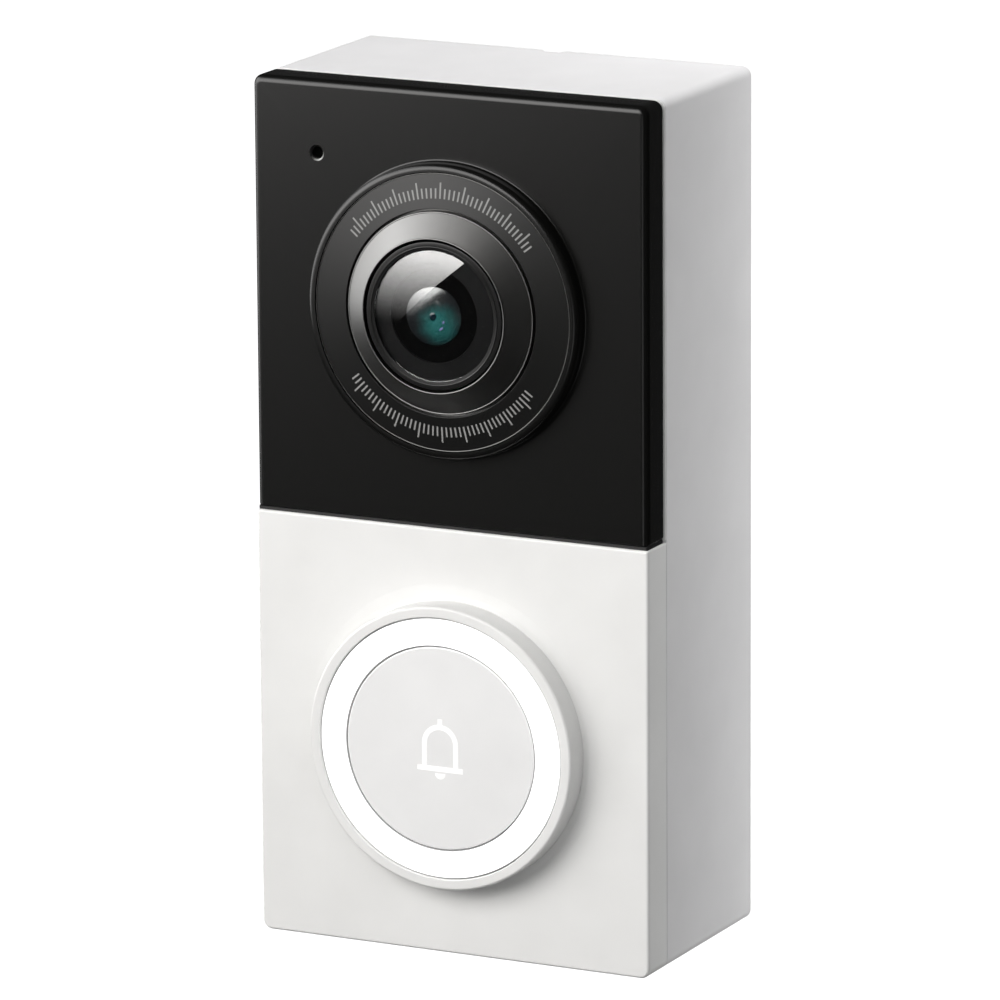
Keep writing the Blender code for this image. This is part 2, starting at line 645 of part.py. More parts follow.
def make_microphone(metal, rubber):
    gasket = [(1.2 * MM, -34.9 * MM), (2.7 * MM, -34.9 * MM), (2.7 * MM, -33.2 * MM), (1.2 * MM, -33.2 * MM)]
    turned("microphone_gasket", (MIC_X, MIC_Z), gasket, rubber, TILT, segments=16, ring=True)
    block("microphone", (MIC_X - 1.9 * MM, -32.9 * MM, MIC_Z - 1.4 * MM),
          (MIC_X + 1.9 * MM, -31.8 * MM, MIC_Z + 1.4 * MM), metal, TILT)


# ---------------------------------------------------------------- button

BELL_WIDTH = 6.6 * MM
BELL_TOP = 4.6 * MM


def bell_outline(margin):
    """A plain bell: a stem, a dome, straight sides, a wider lip and a round clapper."""
    half = BELL_WIDTH / 2 + margin
    lip = half + 1.0 * MM
    stem = 0.4 * MM + margin
    dome_v = BELL_TOP - 0.9 * MM + margin - half
    base = -3.3 * MM
    points = [(stem, BELL_TOP + margin), (-stem, BELL_TOP + margin)]
    start = 90 + math.degrees(math.asin(stem / half))
    points += arc((0, dome_v), half, start, 180, 6)
    points += [(-half, base + margin), (-lip, base + margin), (-lip, base - 0.75 * MM - margin)]
    clapper = 1.6 * MM + margin
    points += arc((0, base - 0.75 * MM - margin), clapper, 180, 360, 6)
    points += [(lip, base - 0.75 * MM - margin), (lip, base + margin), (half, base + margin)]
    points += arc((0, dome_v), half, 0, 180 - start, 6)
    return [(u, v + BUTTON_Z) for u, v in points]


def make_button_cap(material):
    round_edge = arc((CAP_RADIUS - 0.3 * MM, CAP_Y + 0.3 * MM), 0.3 * MM, -90, 0, 2)
    profile = [(0, CAP_Y), *round_edge, (CAP_RADIUS, -38.6 * MM), (CAP_RADIUS - 1.2 * MM, -38.6 * MM),
               (CAP_RADIUS - 1.2 * MM, -39.8 * MM), (3.0 * MM, -39.8 * MM), (3.0 * MM, -31.9 * MM),
               (0, -31.9 * MM)]
    cap = turned("button_cap", (0, BUTTON_Z), profile, material, "button_axis", segments=CURVE)
    pocket = prism("icon_pocket_guide", bell_outline(0.25 * MM), CAP_Y - 1 * MM, CAP_Y + 0.6 * MM,
                   None, "button_axis")
    return cut(cap, pocket)


def make_bell_icon(material):
    return prism("bell_icon", bell_outline(0), CAP_Y, CAP_Y + 0.35 * MM, material, "button_axis")


def make_light_ring(material):
    outer = LIGHT_OUTER_RADIUS - 0.1 * MM
    front_y = RIM_Y + 0.15 * MM
    back_y = -34.2 * MM
    profile = [(LIGHT_INNER_RADIUS, back_y), (outer, back_y), (outer, front_y), (LIGHT_INNER_RADIUS, front_y)]
    return turned("light_ring", (0, BUTTON_Z), profile, material, TILT, segments=CURVE, ring=True)


def make_led_ring_board(material):
    profile = [(8.0 * MM, -33.1 * MM), (21.0 * MM, -33.1 * MM), (21.0 * MM, -33.9 * MM), (8.0 * MM, -33.9 * MM)]
    return turned("led_ring_board", (0, BUTTON_Z), profile, material, TILT, segments=32, ring=True)


def make_button_membrane(material):
    """A thin silicone cone that brings the cap back."""
    profile = [(3.4 * MM, -36.4 * MM), (3.4 * MM, -37.2 * MM), (7.0 * MM, -37.2 * MM),
               (12.0 * MM, -35.4 * MM), (15.4 * MM, -35.4 * MM), (15.4 * MM, -34.7 * MM),
               (11.8 * MM, -34.7 * MM), (6.8 * MM, -36.4 * MM)]
    return turned("button_membrane", (0, BUTTON_Z), profile, material, TILT, segments=24, ring=True)


def make_tact_switch(body_material, stem_material):
    half = 3 * MM
    body = block("tact_switch", (-half, -30.5 * MM, BUTTON_Z - half), (half, -28.5 * MM, BUTTON_Z + half),
                 body_material, TILT)
    cut(body, guide_bore("switch_bore_guide", (0, BUTTON_Z), 1.9 * MM, -29.0 * MM, -32 * MM, TILT,
                         segments=16))
    profile = [(1.6 * MM, -29.6 * MM), (1.6 * MM, -31.3 * MM)]
    turned("switch_stem", (0, BUTTON_Z), profile, stem_material, "switch_axis", segments=16)


# ---------------------------------------------------------------- boards and power

def make_main_board(board, shield, antenna):
    block("main_board", (-22.5 * MM, BOARD_FRONT_Y, -46 * MM), (22.5 * MM, BOARD_REAR_Y, 12 * MM), board, TILT)
    block("processor_shield", (-19 * MM, -30.3 * MM, -8 * MM), (-3 * MM, -28.5 * MM, 8 * MM), shield, TILT)
    block("radio_shield", (3 * MM, -30.1 * MM, -6 * MM), (15 * MM, -28.5 * MM, 8 * MM), shield, TILT)
    block("wifi_antenna", (-12 * MM, -33.0 * MM, 55.5 * MM), (18 * MM, -32.6 * MM, 61.5 * MM), antenna, TILT)


def make_battery_cell(name, side, material):
    top = CELL_BOTTOM_Z + CELL_LENGTH
    profile = [(CELL_RADIUS - 0.5 * MM, CELL_BOTTOM_Z), (CELL_RADIUS, CELL_BOTTOM_Z + 0.5 * MM),
               (CELL_RADIUS, top - 1.5 * MM), (CELL_RADIUS - 0.5 * MM, top - 1.0 * MM),
               (2.8 * MM, top - 1.0 * MM), (2.8 * MM, top)]
    return turned(name, (side * CELL_X, CELL_Y), profile, material, TILT, axis="Z", segments=20)


def make_battery_holder(material):
    top = CELL_BOTTOM_Z + CELL_LENGTH
    holder = block("battery_holder", (-20.5 * MM, -26.6 * MM, CELL_BOTTOM_Z - 2.6 * MM),
                   (20.5 * MM, -17.0 * MM, top + 2.6 * MM), material, TILT)
    for side in (-1, 1):
        cut(holder, guide_bore(f"cell_guide_{side}", (side * CELL_X, CELL_Y), CELL_RADIUS + 0.35 * MM,
                               CELL_BOTTOM_Z - 1.1 * MM, top + 1.1 * MM, TILT, axis="Z", segments=20))
    return cut(holder, block("contact_room_guide", (-17.4 * MM, -21.4 * MM, CELL_BOTTOM_Z - 1.1 * MM),
                             (17.4 * MM, -11 * MM, top + 1.1 * MM), None, TILT))


def make_battery_contact(name, low_z, material):
    return block(name, (-17 * MM, -21 * MM, low_z), (17 * MM, -12 * MM, low_z + 0.4 * MM), material, TILT)


def make_speaker(frame_material, box_material):
    """The driver faces the slots in the bottom wall, and its box closes the space above it."""
    rect = centred(28 * MM, 11 * MM, 0, SPEAKER_Y)
    stack("speaker_driver", rect, (5 * MM, 5 * MM),
          [(-63.3 * MM, 0.6 * MM), (-62.6 * MM, 0), (-60.2 * MM, 0), (-58.6 * MM, 2.5 * MM)],
          frame_material, TILT, axis="Z", segments=4)
    stack("speaker_box", centred(32 * MM, 11.6 * MM, 0, SPEAKER_Y), (2 * MM, 2 * MM),
          [(-58.2 * MM, 0), (-50.5 * MM, 0), (-49.7 * MM, 0.8 * MM)], box_material, TILT,
          axis="Z", segments=2)


def make_usb_socket(metal):
    socket = stack("usb_socket", centred(9.0 * MM, 3.3 * MM, 0, PORT_Y), (1.5 * MM, 1.5 * MM),
                   [(-64.6 * MM, 0), (-57.5 * MM, 0)], metal, TILT, axis="Z")
    mouth = guide_stack("usb_mouth_guide", centred(8.3 * MM, 2.6 * MM, 0, PORT_Y), 1.2 * MM,
                        -66 * MM, -59 * MM, TILT, axis="Z")
    return cut(socket, mouth)


def make_port_cover(material):
    """A rubber flap in the bottom recess, with a plug that enters the socket."""
    left, front, right, rear = PORT_RECESS
    gap = 0.4 * MM
    flap_rect = (left + gap, front + gap, right - gap, rear - gap)
    flap = stack("port_cover", flap_rect, (0.8 * MM, 0.8 * MM),
                 [(-65.9 * MM, 0.2 * MM), (-65.7 * MM, 0), (-65.15 * MM, 0)], material, "port_hinge",
                 axis="Z", segments=2)
    plug = guide_stack("flap_plug_guide", centred(7.2 * MM, 1.4 * MM, 0, PORT_Y), 0.6 * MM,
                       -65.4 * MM, -63.9 * MM, "port_hinge", axis="Z", segments=2)
    return fuse(flap, plug)


def make_reset_button(material):
    profile = [(0.75 * MM, -64.4 * MM), (0.75 * MM, -62.0 * MM), (1.2 * MM, -62.0 * MM),
               (1.2 * MM, -60.4 * MM)]
    return turned("reset_button", (RESET_X, PORT_Y), profile, material, "reset_axis", axis="Z",
                  segments=12)


def make_port_board(material):
    return block("port_board", (-12 * MM, -13.6 * MM, -57.2 * MM), (12 * MM, -7.0 * MM, -56.4 * MM),
                 material, TILT)


def make_terminals(block_material, screw_material):
    base = block("terminal_block", (-11.6 * MM, -12 * MM, TERMINAL_Z - 5.8 * MM),
                 (11.6 * MM, -4.5 * MM, TERMINAL_Z + 5.8 * MM), block_material, TILT)
    for name, x in (("left", -5.6 * MM), ("right", 5.6 * MM)):
        cut(base, guide_bore(f"terminal_bore_guide_{name}", (x, TERMINAL_Z), 1.7 * MM, -3 * MM,
                             -10.5 * MM, TILT, segments=12))
        profile = [(0, -3.5 * MM), (0.8 * MM, -3.5 * MM), (0.9 * MM, -3.1 * MM), (2.3 * MM, -3.1 * MM),
                   (2.6 * MM, -3.4 * MM), (2.6 * MM, -4.1 * MM), (1.3 * MM, -4.1 * MM),
                   (1.3 * MM, -9.6 * MM), (0, -10.0 * MM)]
        turned(f"terminal_screw_{name}", (x, TERMINAL_Z), profile, screw_material, TILT, segments=12)


# ---------------------------------------------------------------- assembly

def make_axes():
    """Empties that carry the joints: the housing tilts, and the small movers ride on it."""
    for name, place in AXES.items():
        empty = bpy.data.objects.new(name, None)
        empty.empty_display_size = 5 * MM
        bpy.context.collection.objects.link(empty)
        empty.location = place
        if name != TILT:
            empty.parent = bpy.data.objects[TILT]
            empty.location = Vector(place) - Vector(AXES[TILT])


def make_shells():
    white = make_material("white_shell", (0.80, 0.80, 0.79), 0.4)
    make_wall_plate(make_material("wall_plate_grey", (0.35, 0.35, 0.36), 0.6))
    make_latch_spring(make_material("latch_steel", (0.60, 0.60, 0.62), 0.3, 1.0))
    make_rear_housing(white)
    make_housing_seal(make_material("seal_rubber", (0.03, 0.03, 0.03), 0.8))
    make_front_frame(make_material("white_front", (0.82, 0.82, 0.80), 0.4))
    make_camera_cover(make_material("cover_black", (0.02, 0.02, 0.02), 0.25))
    steel = make_material("screw_steel", (0.55, 0.55, 0.57), 0.35, 1.0)
    for index, place in enumerate(screw_places()):
        make_case_screw(index + 1, place, steel)


def make_camera():
    black = make_material("optics_black", (0.01, 0.01, 0.01), 0.5)
    glass = make_material("lens_glass", (0.05, 0.06, 0.06), 0.02, alpha=0.35)
    board = make_material("camera_pcb", (0.02, 0.10, 0.04), 0.5)
    chip = make_material("sensor_face", (0.03, 0.05, 0.06), 0.15)
    make_lens_trim_disc(make_material("disc_charcoal", (0.03, 0.03, 0.03), 0.3))
    make_lens_cone_ring(make_material("cone_graphite", (0.15, 0.15, 0.15), 0.3, 1.0))
    make_lens_retaining_ring(make_material("ring_black", (0.04, 0.04, 0.04), 0.35))
    make_lens_dome(glass)
    make_iris_ring(black)
    make_lens_element("front_lens", 5.6 * MM, -37.6 * MM, -36.4 * MM, 0.9 * MM, glass)
    make_lens_element("rear_lens", 5.6 * MM, -30.8 * MM, -29.8 * MM, 0.7 * MM, glass)
    make_lens_barrel(make_material("barrel_black", (0.02, 0.02, 0.02), 0.4))
    make_lens_holder(black)
    make_ir_filter_frame(black)
    make_ir_filter_tray(make_material("tray_grey", (0.08, 0.08, 0.08), 0.5))
    make_ir_filter_glass(make_material("filter_tint", (0.10, 0.20, 0.25), 0.05, alpha=0.5))
    make_ir_filter_rotor(make_material("magnet", (0.25, 0.25, 0.27), 0.35, 1.0))
    make_sensor(board, chip)
    make_ir_lights(board, make_material("ir_led_lens", (0.20, 0.05, 0.06), 0.1), chip)
    make_microphone(make_material("microphone_can", (0.65, 0.62, 0.50), 0.3, 1.0),
                    make_material("microphone_rubber", (0.03, 0.03, 0.03), 0.8))


def make_button():
    make_button_cap(make_material("cap_grey", (0.78, 0.78, 0.78), 0.45))
    make_bell_icon(make_material("icon_white", (0.95, 0.95, 0.95), 0.4))
    make_light_ring(make_material("light_guide", (1.0, 1.0, 1.0), 0.3, glow=1.0))
    make_led_ring_board(make_material("led_pcb", (0.70, 0.70, 0.68), 0.5))
    make_button_membrane(make_material("silicone", (0.60, 0.60, 0.60), 0.6))
    make_tact_switch(make_material("switch_black", (0.03, 0.03, 0.03), 0.5),
                     make_material("stem_brown", (0.30, 0.15, 0.05), 0.5))


def make_electronics():
    shield = make_material("shield_tin", (0.62, 0.62, 0.60), 0.3, 1.0)
    board = make_material("main_pcb", (0.02, 0.12, 0.05), 0.5)
    make_main_board(board, shield, make_material("antenna_copper", (0.50, 0.28, 0.12), 0.35, 1.0))
    wrap = make_material("cell_wrap", (0.05, 0.15, 0.35), 0.4)
    nickel = make_material("nickel", (0.66, 0.64, 0.58), 0.25, 1.0)
    for name, side in (("battery_cell_left", -1), ("battery_cell_right", 1)):
        make_battery_cell(name, side, wrap)
    make_battery_holder(make_material("holder_black", (0.04, 0.04, 0.04), 0.55))
    cell_top = CELL_BOTTOM_Z + CELL_LENGTH
    make_battery_contact("battery_contact_top", cell_top + CLEARANCE, nickel)
    make_battery_contact("battery_contact_bottom", CELL_BOTTOM_Z - 0.4 * MM - CLEARANCE, nickel)
    make_speaker(make_material("speaker_frame", (0.06, 0.06, 0.06), 0.5),
                 make_material("speaker_box_black", (0.03, 0.03, 0.03), 0.6))
    make_usb_socket(nickel)
    make_port_board(board)
    make_port_cover(make_material("port_rubber", (0.72, 0.72, 0.71), 0.7))
    make_reset_button(make_material("reset_plastic", (0.30, 0.30, 0.30), 0.5))
    make_terminals(make_material("terminal_black", (0.04, 0.04, 0.04), 0.5),
                   make_material("terminal_brass", (0.70, 0.52, 0.25), 0.3, 1.0))


remove_existing()
make_axes()
bpy.context.view_layer.update()
make_shells()
make_camera()
make_button()
make_electronics()
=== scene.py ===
"""The looks of the video doorbell: fine shells, optics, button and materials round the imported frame."""
import json
import math

import bmesh
import bpy
from mathutils import Matrix, Vector


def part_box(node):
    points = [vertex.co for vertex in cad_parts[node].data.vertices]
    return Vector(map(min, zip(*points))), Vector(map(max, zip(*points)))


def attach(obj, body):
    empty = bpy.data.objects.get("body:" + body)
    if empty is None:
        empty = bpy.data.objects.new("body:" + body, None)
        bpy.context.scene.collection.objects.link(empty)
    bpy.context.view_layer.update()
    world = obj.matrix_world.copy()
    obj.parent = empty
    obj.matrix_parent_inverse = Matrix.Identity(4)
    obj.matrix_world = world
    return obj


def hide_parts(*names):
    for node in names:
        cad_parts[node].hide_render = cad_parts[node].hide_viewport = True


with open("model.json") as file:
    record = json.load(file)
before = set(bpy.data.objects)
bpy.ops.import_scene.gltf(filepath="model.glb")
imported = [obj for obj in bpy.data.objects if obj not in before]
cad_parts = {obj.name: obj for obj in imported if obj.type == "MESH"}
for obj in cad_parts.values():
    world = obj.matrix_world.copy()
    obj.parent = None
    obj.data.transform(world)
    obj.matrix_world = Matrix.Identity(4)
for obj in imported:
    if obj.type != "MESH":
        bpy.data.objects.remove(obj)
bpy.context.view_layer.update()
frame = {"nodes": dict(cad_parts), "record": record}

MM = 0.001
TAU = 2 * math.pi


def mm(*values):
    """Numbers in millimetres, or tuples of them, turned to metres."""
    return tuple(mm(*value) if isinstance(value, tuple) else value * MM for value in values)


def box_middle(node, axis):
    """The middle of a frame node's box along one axis."""
    low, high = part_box(node)
    return (getattr(low, axis) + getattr(high, axis)) / 2


def axis_of(node):
    """The (x, z) of an axis in the y direction through a node's middle."""
    return box_middle(node, "x"), box_middle(node, "z")


# Places and sizes read from the frame
HOUSING_LOW, HOUSING_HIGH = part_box("rear_housing")
COVER_LOW, COVER_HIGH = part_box("camera_cover")
DISC_LOW, DISC_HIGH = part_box("lens_trim_disc")
RETAINER_LOW, RETAINER_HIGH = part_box("lens_retaining_ring")
DOME_LOW, DOME_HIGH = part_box("lens_dome")
LIGHT_LOW, LIGHT_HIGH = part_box("light_ring")
CAP_LOW, CAP_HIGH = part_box("button_cap")
PLATE_LOW, PLATE_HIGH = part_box("wall_plate")
FLAP_LOW, FLAP_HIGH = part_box("port_cover")
SOCKET_LOW, SOCKET_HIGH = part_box("usb_socket")

HALF_WIDTH = HOUSING_HIGH.x
HALF_HEIGHT = HOUSING_HIGH.z
REAR_RIM_Y = HOUSING_HIGH.y
HOUSING_FRONT_Y = HOUSING_LOW.y
SPLIT_Z = COVER_LOW.z
BOSS_FRONT_Y = COVER_LOW.y
FRONT_Y = BOSS_FRONT_Y + 2.4 * MM
RIM_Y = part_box("front_frame")[0].y
CONE_REAR_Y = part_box("lens_cone_ring")[1].y
DISC_RADIUS = DISC_HIGH.x
CONE_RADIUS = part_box("lens_cone_ring")[1].x
LIGHT_RADIUS = LIGHT_HIGH.x
CAP_RADIUS = CAP_HIGH.x

# Where axes and openings are: (x, z) of the lens, the button and the microphone hole
LENS = (0.0, box_middle("lens_trim_disc", "z"))
BUTTON = (0.0, box_middle("light_ring", "z"))
MIC_X, MIC_Z = axis_of("microphone_gasket")
MIC_HOLE = (MIC_X + 0.4 * MM, MIC_Z - 0.5 * MM)
SPEAKER_Y = box_middle("speaker_driver", "y")
PORT_Y = box_middle("usb_socket", "y")
TERMINAL_Z = box_middle("terminal_block", "z")
LUG_X, LUG_Z = mm(18, -55)
RESET_X = 7.0 * MM

# Sizes of the shells' own details
CORNER_RADIUS, SMALLEST_RADIUS, SEAM_GAP = mm(1.5, 0.08, 0.3)
FRONT_SEAM_Y = HOUSING_FRONT_Y - 0.1 * MM
PANEL_REAR_Y, PANEL_FRONT_Y = mm(-4.3, -6.3)
BOSS_RADIUS, BOSS_EDGE, RIM_RADIUS, FLARE_RADIUS = mm(22.3, 0.9, 21.8, 24.3)
LIGHT_INNER_RADIUS = 15.85 * MM
BODY = (-HALF_WIDTH, -HALF_HEIGHT, HALF_WIDTH, HALF_HEIGHT)
SPEAKER_SLOTS = 7
SPEAKER_PITCH = 3.6 * MM
INNER_LENS_TILT = 4
TICKS_EACH_SIDE = 22
TICK_STEP = 2.4
ROUND = 160
SHARP_ANGLE = 32.0

# Camera: lens and sensor in millimetres; azimuth, elevation and roll in degrees; distance in metres
SENSOR_WIDTH = 36.0
FOCAL_LENGTH = 298.1
CAMERA_SHIFT = (-0.0055, 0.0013)
CAMERA_PLACE = (26.39, 13.31, 1.2469)
CAMERA_ROLL = -0.36
FAR_CLIP = 20.0

# Studio: azimuth and elevation in degrees, distance, size, power and the point each light looks at.
# The shines are seen only in reflections; the fills light matt surfaces and aren't seen in reflections.
BODY_MIDDLE = (0, -0.02, 0)
SHINES = {
    "upper_shine": (-55, 34, 0.9, (0.55, 0.55), 2.4, BODY_MIDDLE),
    "left_shine": (-80, 12, 0.9, (0.6, 0.8), 3.9, BODY_MIDDLE),
    "rear_shine": (178, 0, 0.9, (1.6, 1.2), 0.17, BODY_MIDDLE),
    "front_shine": (14, -14, 0.9, (0.22, 0.3), 0.22, BODY_MIDDLE),
}
FILLS = {
    "front_light": (-4, 38, 0.9, (0.4, 0.4), 1.2, BODY_MIDDLE),
    "right_light": (38, 12, 0.2, (0.12, 0.2), 0.10, (0.025, -0.037, -0.02)),
    "top_light": (180, 62, 0.9, (0.6, 0.6), 5.0, BODY_MIDDLE),
    "side_light": (95, 5, 0.9, (0.5, 0.8), 0.4, BODY_MIDDLE),
    "side_strip": (160, 0, 0.05, (0.03, 0.4), 0.18, (0.0325, 0.0, 0)),
}
# The softbox: directions in degrees as seen from the lens, the last two at its dim end and its bright end
SOFTBOX_FACING = (-32, 12)
SOFTBOX_DISTANCE = 0.6
SOFTBOX_CORNERS = [(-50, -21.4), (8, 22.2), (-14, 48), (-74, 8)]
SOFTBOX_GRADIENT = [(-26, -15.5), (-26, 6)]
SOFTBOX_POWER = 4.8
SOFTBOX_COLOR = (1.0, 0.985, 0.97, 1.0)
WORLD_POWER = 0.115
WORLD_SHINE = 0.01
WHITE = (1.0, 1.0, 1.0, 1.0)
FLOOR_SIZE = 9.0
FLOOR_Z = -0.35

# Surface detail, in millimetres
BLOTCH_SIZE = 12.0
GRAIN_DEPTH = 0.02
LATHE_PITCH = 0.05
LATHE_DEPTH = 0.01
TRACE_CELL = 1.6

# Plain finishes: colour, roughness, metallic share, depth of grain and, where it differs, size of grain
FINISHES = {
    # white_shell is a cooler, slightly darker copy of white_front: its tint is painted cool shade of the side
    # faces
    "white_shell": ((0.8, 0.795, 0.802), 0.42, 0, 0.1),
    "white_front": ((0.82, 0.82, 0.81), 0.4, 0, 0.06),
    "cover_black": ((0.0045, 0.0045, 0.0042), 0.25, 0, 0.006),
    "trim_charcoal": ((0.005, 0.005, 0.0048), 0.3, 0, 0.04),
    "tick_grey": ((0.26, 0.26, 0.255), 0.5, 0, 0.1),
    "ring_black": ((0.008, 0.008, 0.008), 0.25, 0, 0.02),
    "cap_grey": ((0.83, 0.83, 0.83), 0.5, 0, 0.05),
    "silicone_grey": ((0.6, 0.6, 0.6), 0.55, 0, 0.2),
    "rubber_white": ((0.7, 0.7, 0.69), 0.7, 0, 0.3),
    "rubber_black": ((0.02, 0.02, 0.02), 0.75, 0, 0.3),
    "gasket_grey": ((0.02, 0.02, 0.02), 0.6, 0, 0.2),
    "plate_grey": ((0.3, 0.3, 0.31), 0.6, 0, 0.35, 0.25),
    "latch_steel": ((0.58, 0.58, 0.6), 0.3, 1.0, 0.15),
    "screw_steel": ((0.55, 0.55, 0.57), 0.32, 1.0, 0.2),
    "chip_dark": ((0.03, 0.05, 0.06), 0.12, 0, 0.02),
    "shield_tin": ((0.6, 0.6, 0.58), 0.3, 1.0, 0.15),
    "antenna_copper": ((0.5, 0.28, 0.12), 0.35, 1.0, 0.1),
    "cell_wrap": ((0.03, 0.12, 0.35), 0.35, 0, 0.05),
    "nickel": ((0.64, 0.62, 0.57), 0.25, 1.0, 0.1),
    "magnet_dark": ((0.25, 0.25, 0.27), 0.35, 1.0, 0.2),
    "plastic_black": ((0.03, 0.03, 0.03), 0.5, 0, 0.2),
    "plastic_grey": ((0.28, 0.28, 0.28), 0.5, 0, 0.2),
    "stem_brown": ((0.3, 0.14, 0.05), 0.45, 0, 0.15),
    "terminal_brass": ((0.68, 0.5, 0.22), 0.3, 1.0, 0.15),
    "ir_lens": ((0.1, 0.02, 0.03), 0.1, 0, 0.02),
    # glint_violet: painted glint colour, violet standing for reflections off the lens coating
    "glint_violet": ((0.28, 0.17, 0.42), 0.2, 0, 0.02),
    "speaker_cloth": ((0.015, 0.015, 0.015), 0.85, 0, 1.0, 0.3),
}
MATERIALS = {}


# ---------------- camera, lights and floor

def add_object(name, data):
    made = bpy.data.objects.new(name, data)
    bpy.context.scene.collection.objects.link(made)
    return made


def new_mesh(name, bm):
    mesh = bpy.data.meshes.new(name)
    bm.to_mesh(mesh)
    bm.free()
    return mesh


def aim(azimuth, elevation, roll=0.0):
    """Axes of something that looks at the origin from a direction: right, up and back."""
    azimuth, elevation, roll = (math.radians(angle) for angle in (azimuth, elevation, roll))
    back = Vector((math.sin(azimuth) * math.cos(elevation),
                   -math.cos(azimuth) * math.cos(elevation), math.sin(elevation)))
    right = Vector((math.cos(azimuth), math.sin(azimuth), 0))
    up = back.cross(right)
    turned_right = right * math.cos(roll) + up * math.sin(roll)
    turned_up = back.cross(turned_right)
    return turned_right, turned_up, back


def viewpoint(azimuth, elevation, distance, centre, roll=0.0):
    right, up, back = aim(azimuth, elevation, roll)
    matrix = Matrix((right, up, back)).transposed().to_4x4()
    matrix.translation = centre + back * distance
    return matrix


def make_camera():
    """A long lens from the front right and slightly above."""
    data = bpy.data.cameras.new("camera")
    data.sensor_width = SENSOR_WIDTH
    data.lens = FOCAL_LENGTH
    data.shift_x, data.shift_y = CAMERA_SHIFT
    data.clip_end = FAR_CLIP
    camera = add_object("camera", data)
    camera.matrix_world = viewpoint(*CAMERA_PLACE, Vector((0, FRONT_Y / 2, 0)), CAMERA_ROLL)
    bpy.context.scene.camera = camera


def make_area_light(name, shines, azimuth, elevation, distance, size, power, centre):
    data = bpy.data.lights.new(name, "AREA")
    data.shape = "RECTANGLE"
    data.size, data.size_y = size
    data.energy = power
    light = add_object(name, data)
    light.matrix_world = viewpoint(azimuth, elevation, distance, Vector(centre))
    light.visible_camera = False
    light.visible_diffuse = not shines
    light.visible_glossy = shines
    light.visible_transmission = shines


def make_softbox():
    """A slanted white panel at the front left, dimmer towards its lower left end.

    Its straight lower edge is what the lens shows as a diagonal, and the black cover takes its sheen from it.
    """
    up, back = aim(*SOFTBOX_FACING)[1:]

    def on_panel(direction):
        ray = aim(*direction)[2]
        return Vector((LENS[0], FRONT_Y, LENS[1])) + ray * (SOFTBOX_DISTANCE / ray.dot(back))

    bm = bmesh.new()
    bm.faces.new([bm.verts.new(on_panel(corner)) for corner in SOFTBOX_CORNERS])
    panel = add_object("softbox", new_mesh("softbox", bm))
    material = new_material("softbox_light")
    material.node_tree.nodes.clear()
    add = node_maker(material)
    place = add("TexCoord")["Object"]
    height = add("VectorMath", {0: place, 1: tuple(up)}, operation="DOT_PRODUCT")["Value"]
    low, high = (on_panel(direction).dot(up) for direction in SOFTBOX_GRADIENT)
    level = add("MapRange", {"Value": height, "From Min": low, "From Max": high})["Result"]
    rise = add("Math", {0: level, 1: 2.0}, operation="POWER")["Value"]
    strength = add("MapRange", {"Value": rise, "To Max": SOFTBOX_POWER})["Result"]
    glow = add("Emission", {"Color": SOFTBOX_COLOR, "Strength": strength})["Emission"]
    add("OutputMaterial", {"Surface": glow})
    panel.data.materials.append(material)
    panel.visible_camera = False
    panel.visible_shadow = False


def make_lights():
    """The studio: area lights, the softbox and a white surround that glossy surfaces hardly see."""
    for shines, lights in ((True, SHINES), (False, FILLS)):
        for name, settings in lights.items():
            make_area_light(name, shines, *settings)
    make_softbox()
    world = bpy.data.worlds.new("studio")
    world.use_nodes = True
    background = world.node_tree.nodes["Background"].inputs
    background["Color"].default_value = WHITE
    add = node_maker(world)
    ray = add("LightPath")
    soft = add("MapRange", {"Value": ray["Is Diffuse Ray"], "To Min": WORLD_SHINE, "To Max": WORLD_POWER})
    level = add("MapRange", {"Value": ray["Is Camera Ray"], "To Min": soft["Result"]})
    world.node_tree.links.new(level["Result"], background["Strength"])
    bpy.context.scene.world = world
    bpy.context.scene.view_settings.view_transform = "Standard"


def make_floor():
    """A plain white floor that throws no light or reflection back on the object."""
    bm = bmesh.new()
    bmesh.ops.create_grid(bm, x_segments=1, y_segments=1, size=FLOOR_SIZE)
    floor = add_object("floor", new_mesh("floor", bm))
    floor.location = (0, 0, FLOOR_Z)
    material = new_material("floor_white")
    set_sockets(material, Base_Color=(0.9, 0.9, 0.9, 1.0), Roughness=0.9, Emission_Color=WHITE,
                Emission_Strength=1.0)
    floor.data.materials.append(material)
    floor.visible_diffuse = False
    floor.visible_glossy = False
    floor.visible_transmission = False


# ---------------- materials

def new_material(name):
    material = bpy.data.materials.new(name)
    material.use_nodes = True
    return material


def give(tree, socket, value):
    """Sets a socket to a value, or links another node's output to it."""
    if isinstance(value, bpy.types.NodeSocket):
        tree.links.new(value, socket)
    else:
        socket.default_value = value


def node_maker(owner):
    """Returns a short way to add a node to a material or world, which gives back the node's outputs."""
    tree = owner.node_tree

    def add(kind, inputs=None, **settings):
        node = tree.nodes.new("ShaderNode" + kind)
        for name, value in settings.items():
            setattr(node, name, value)
        for name, value in (inputs or {}).items():
            give(tree, node.inputs[name], value)
        return node.outputs
    return add


def set_sockets(material, **sockets):
    """Sets or links the shader's own sockets; an underscore in a name stands for a space."""
    shader = material.node_tree.nodes["Principled BSDF"]
    for name, value in sockets.items():
        give(material.node_tree, shader.inputs[name.replace("_", " ")], value)


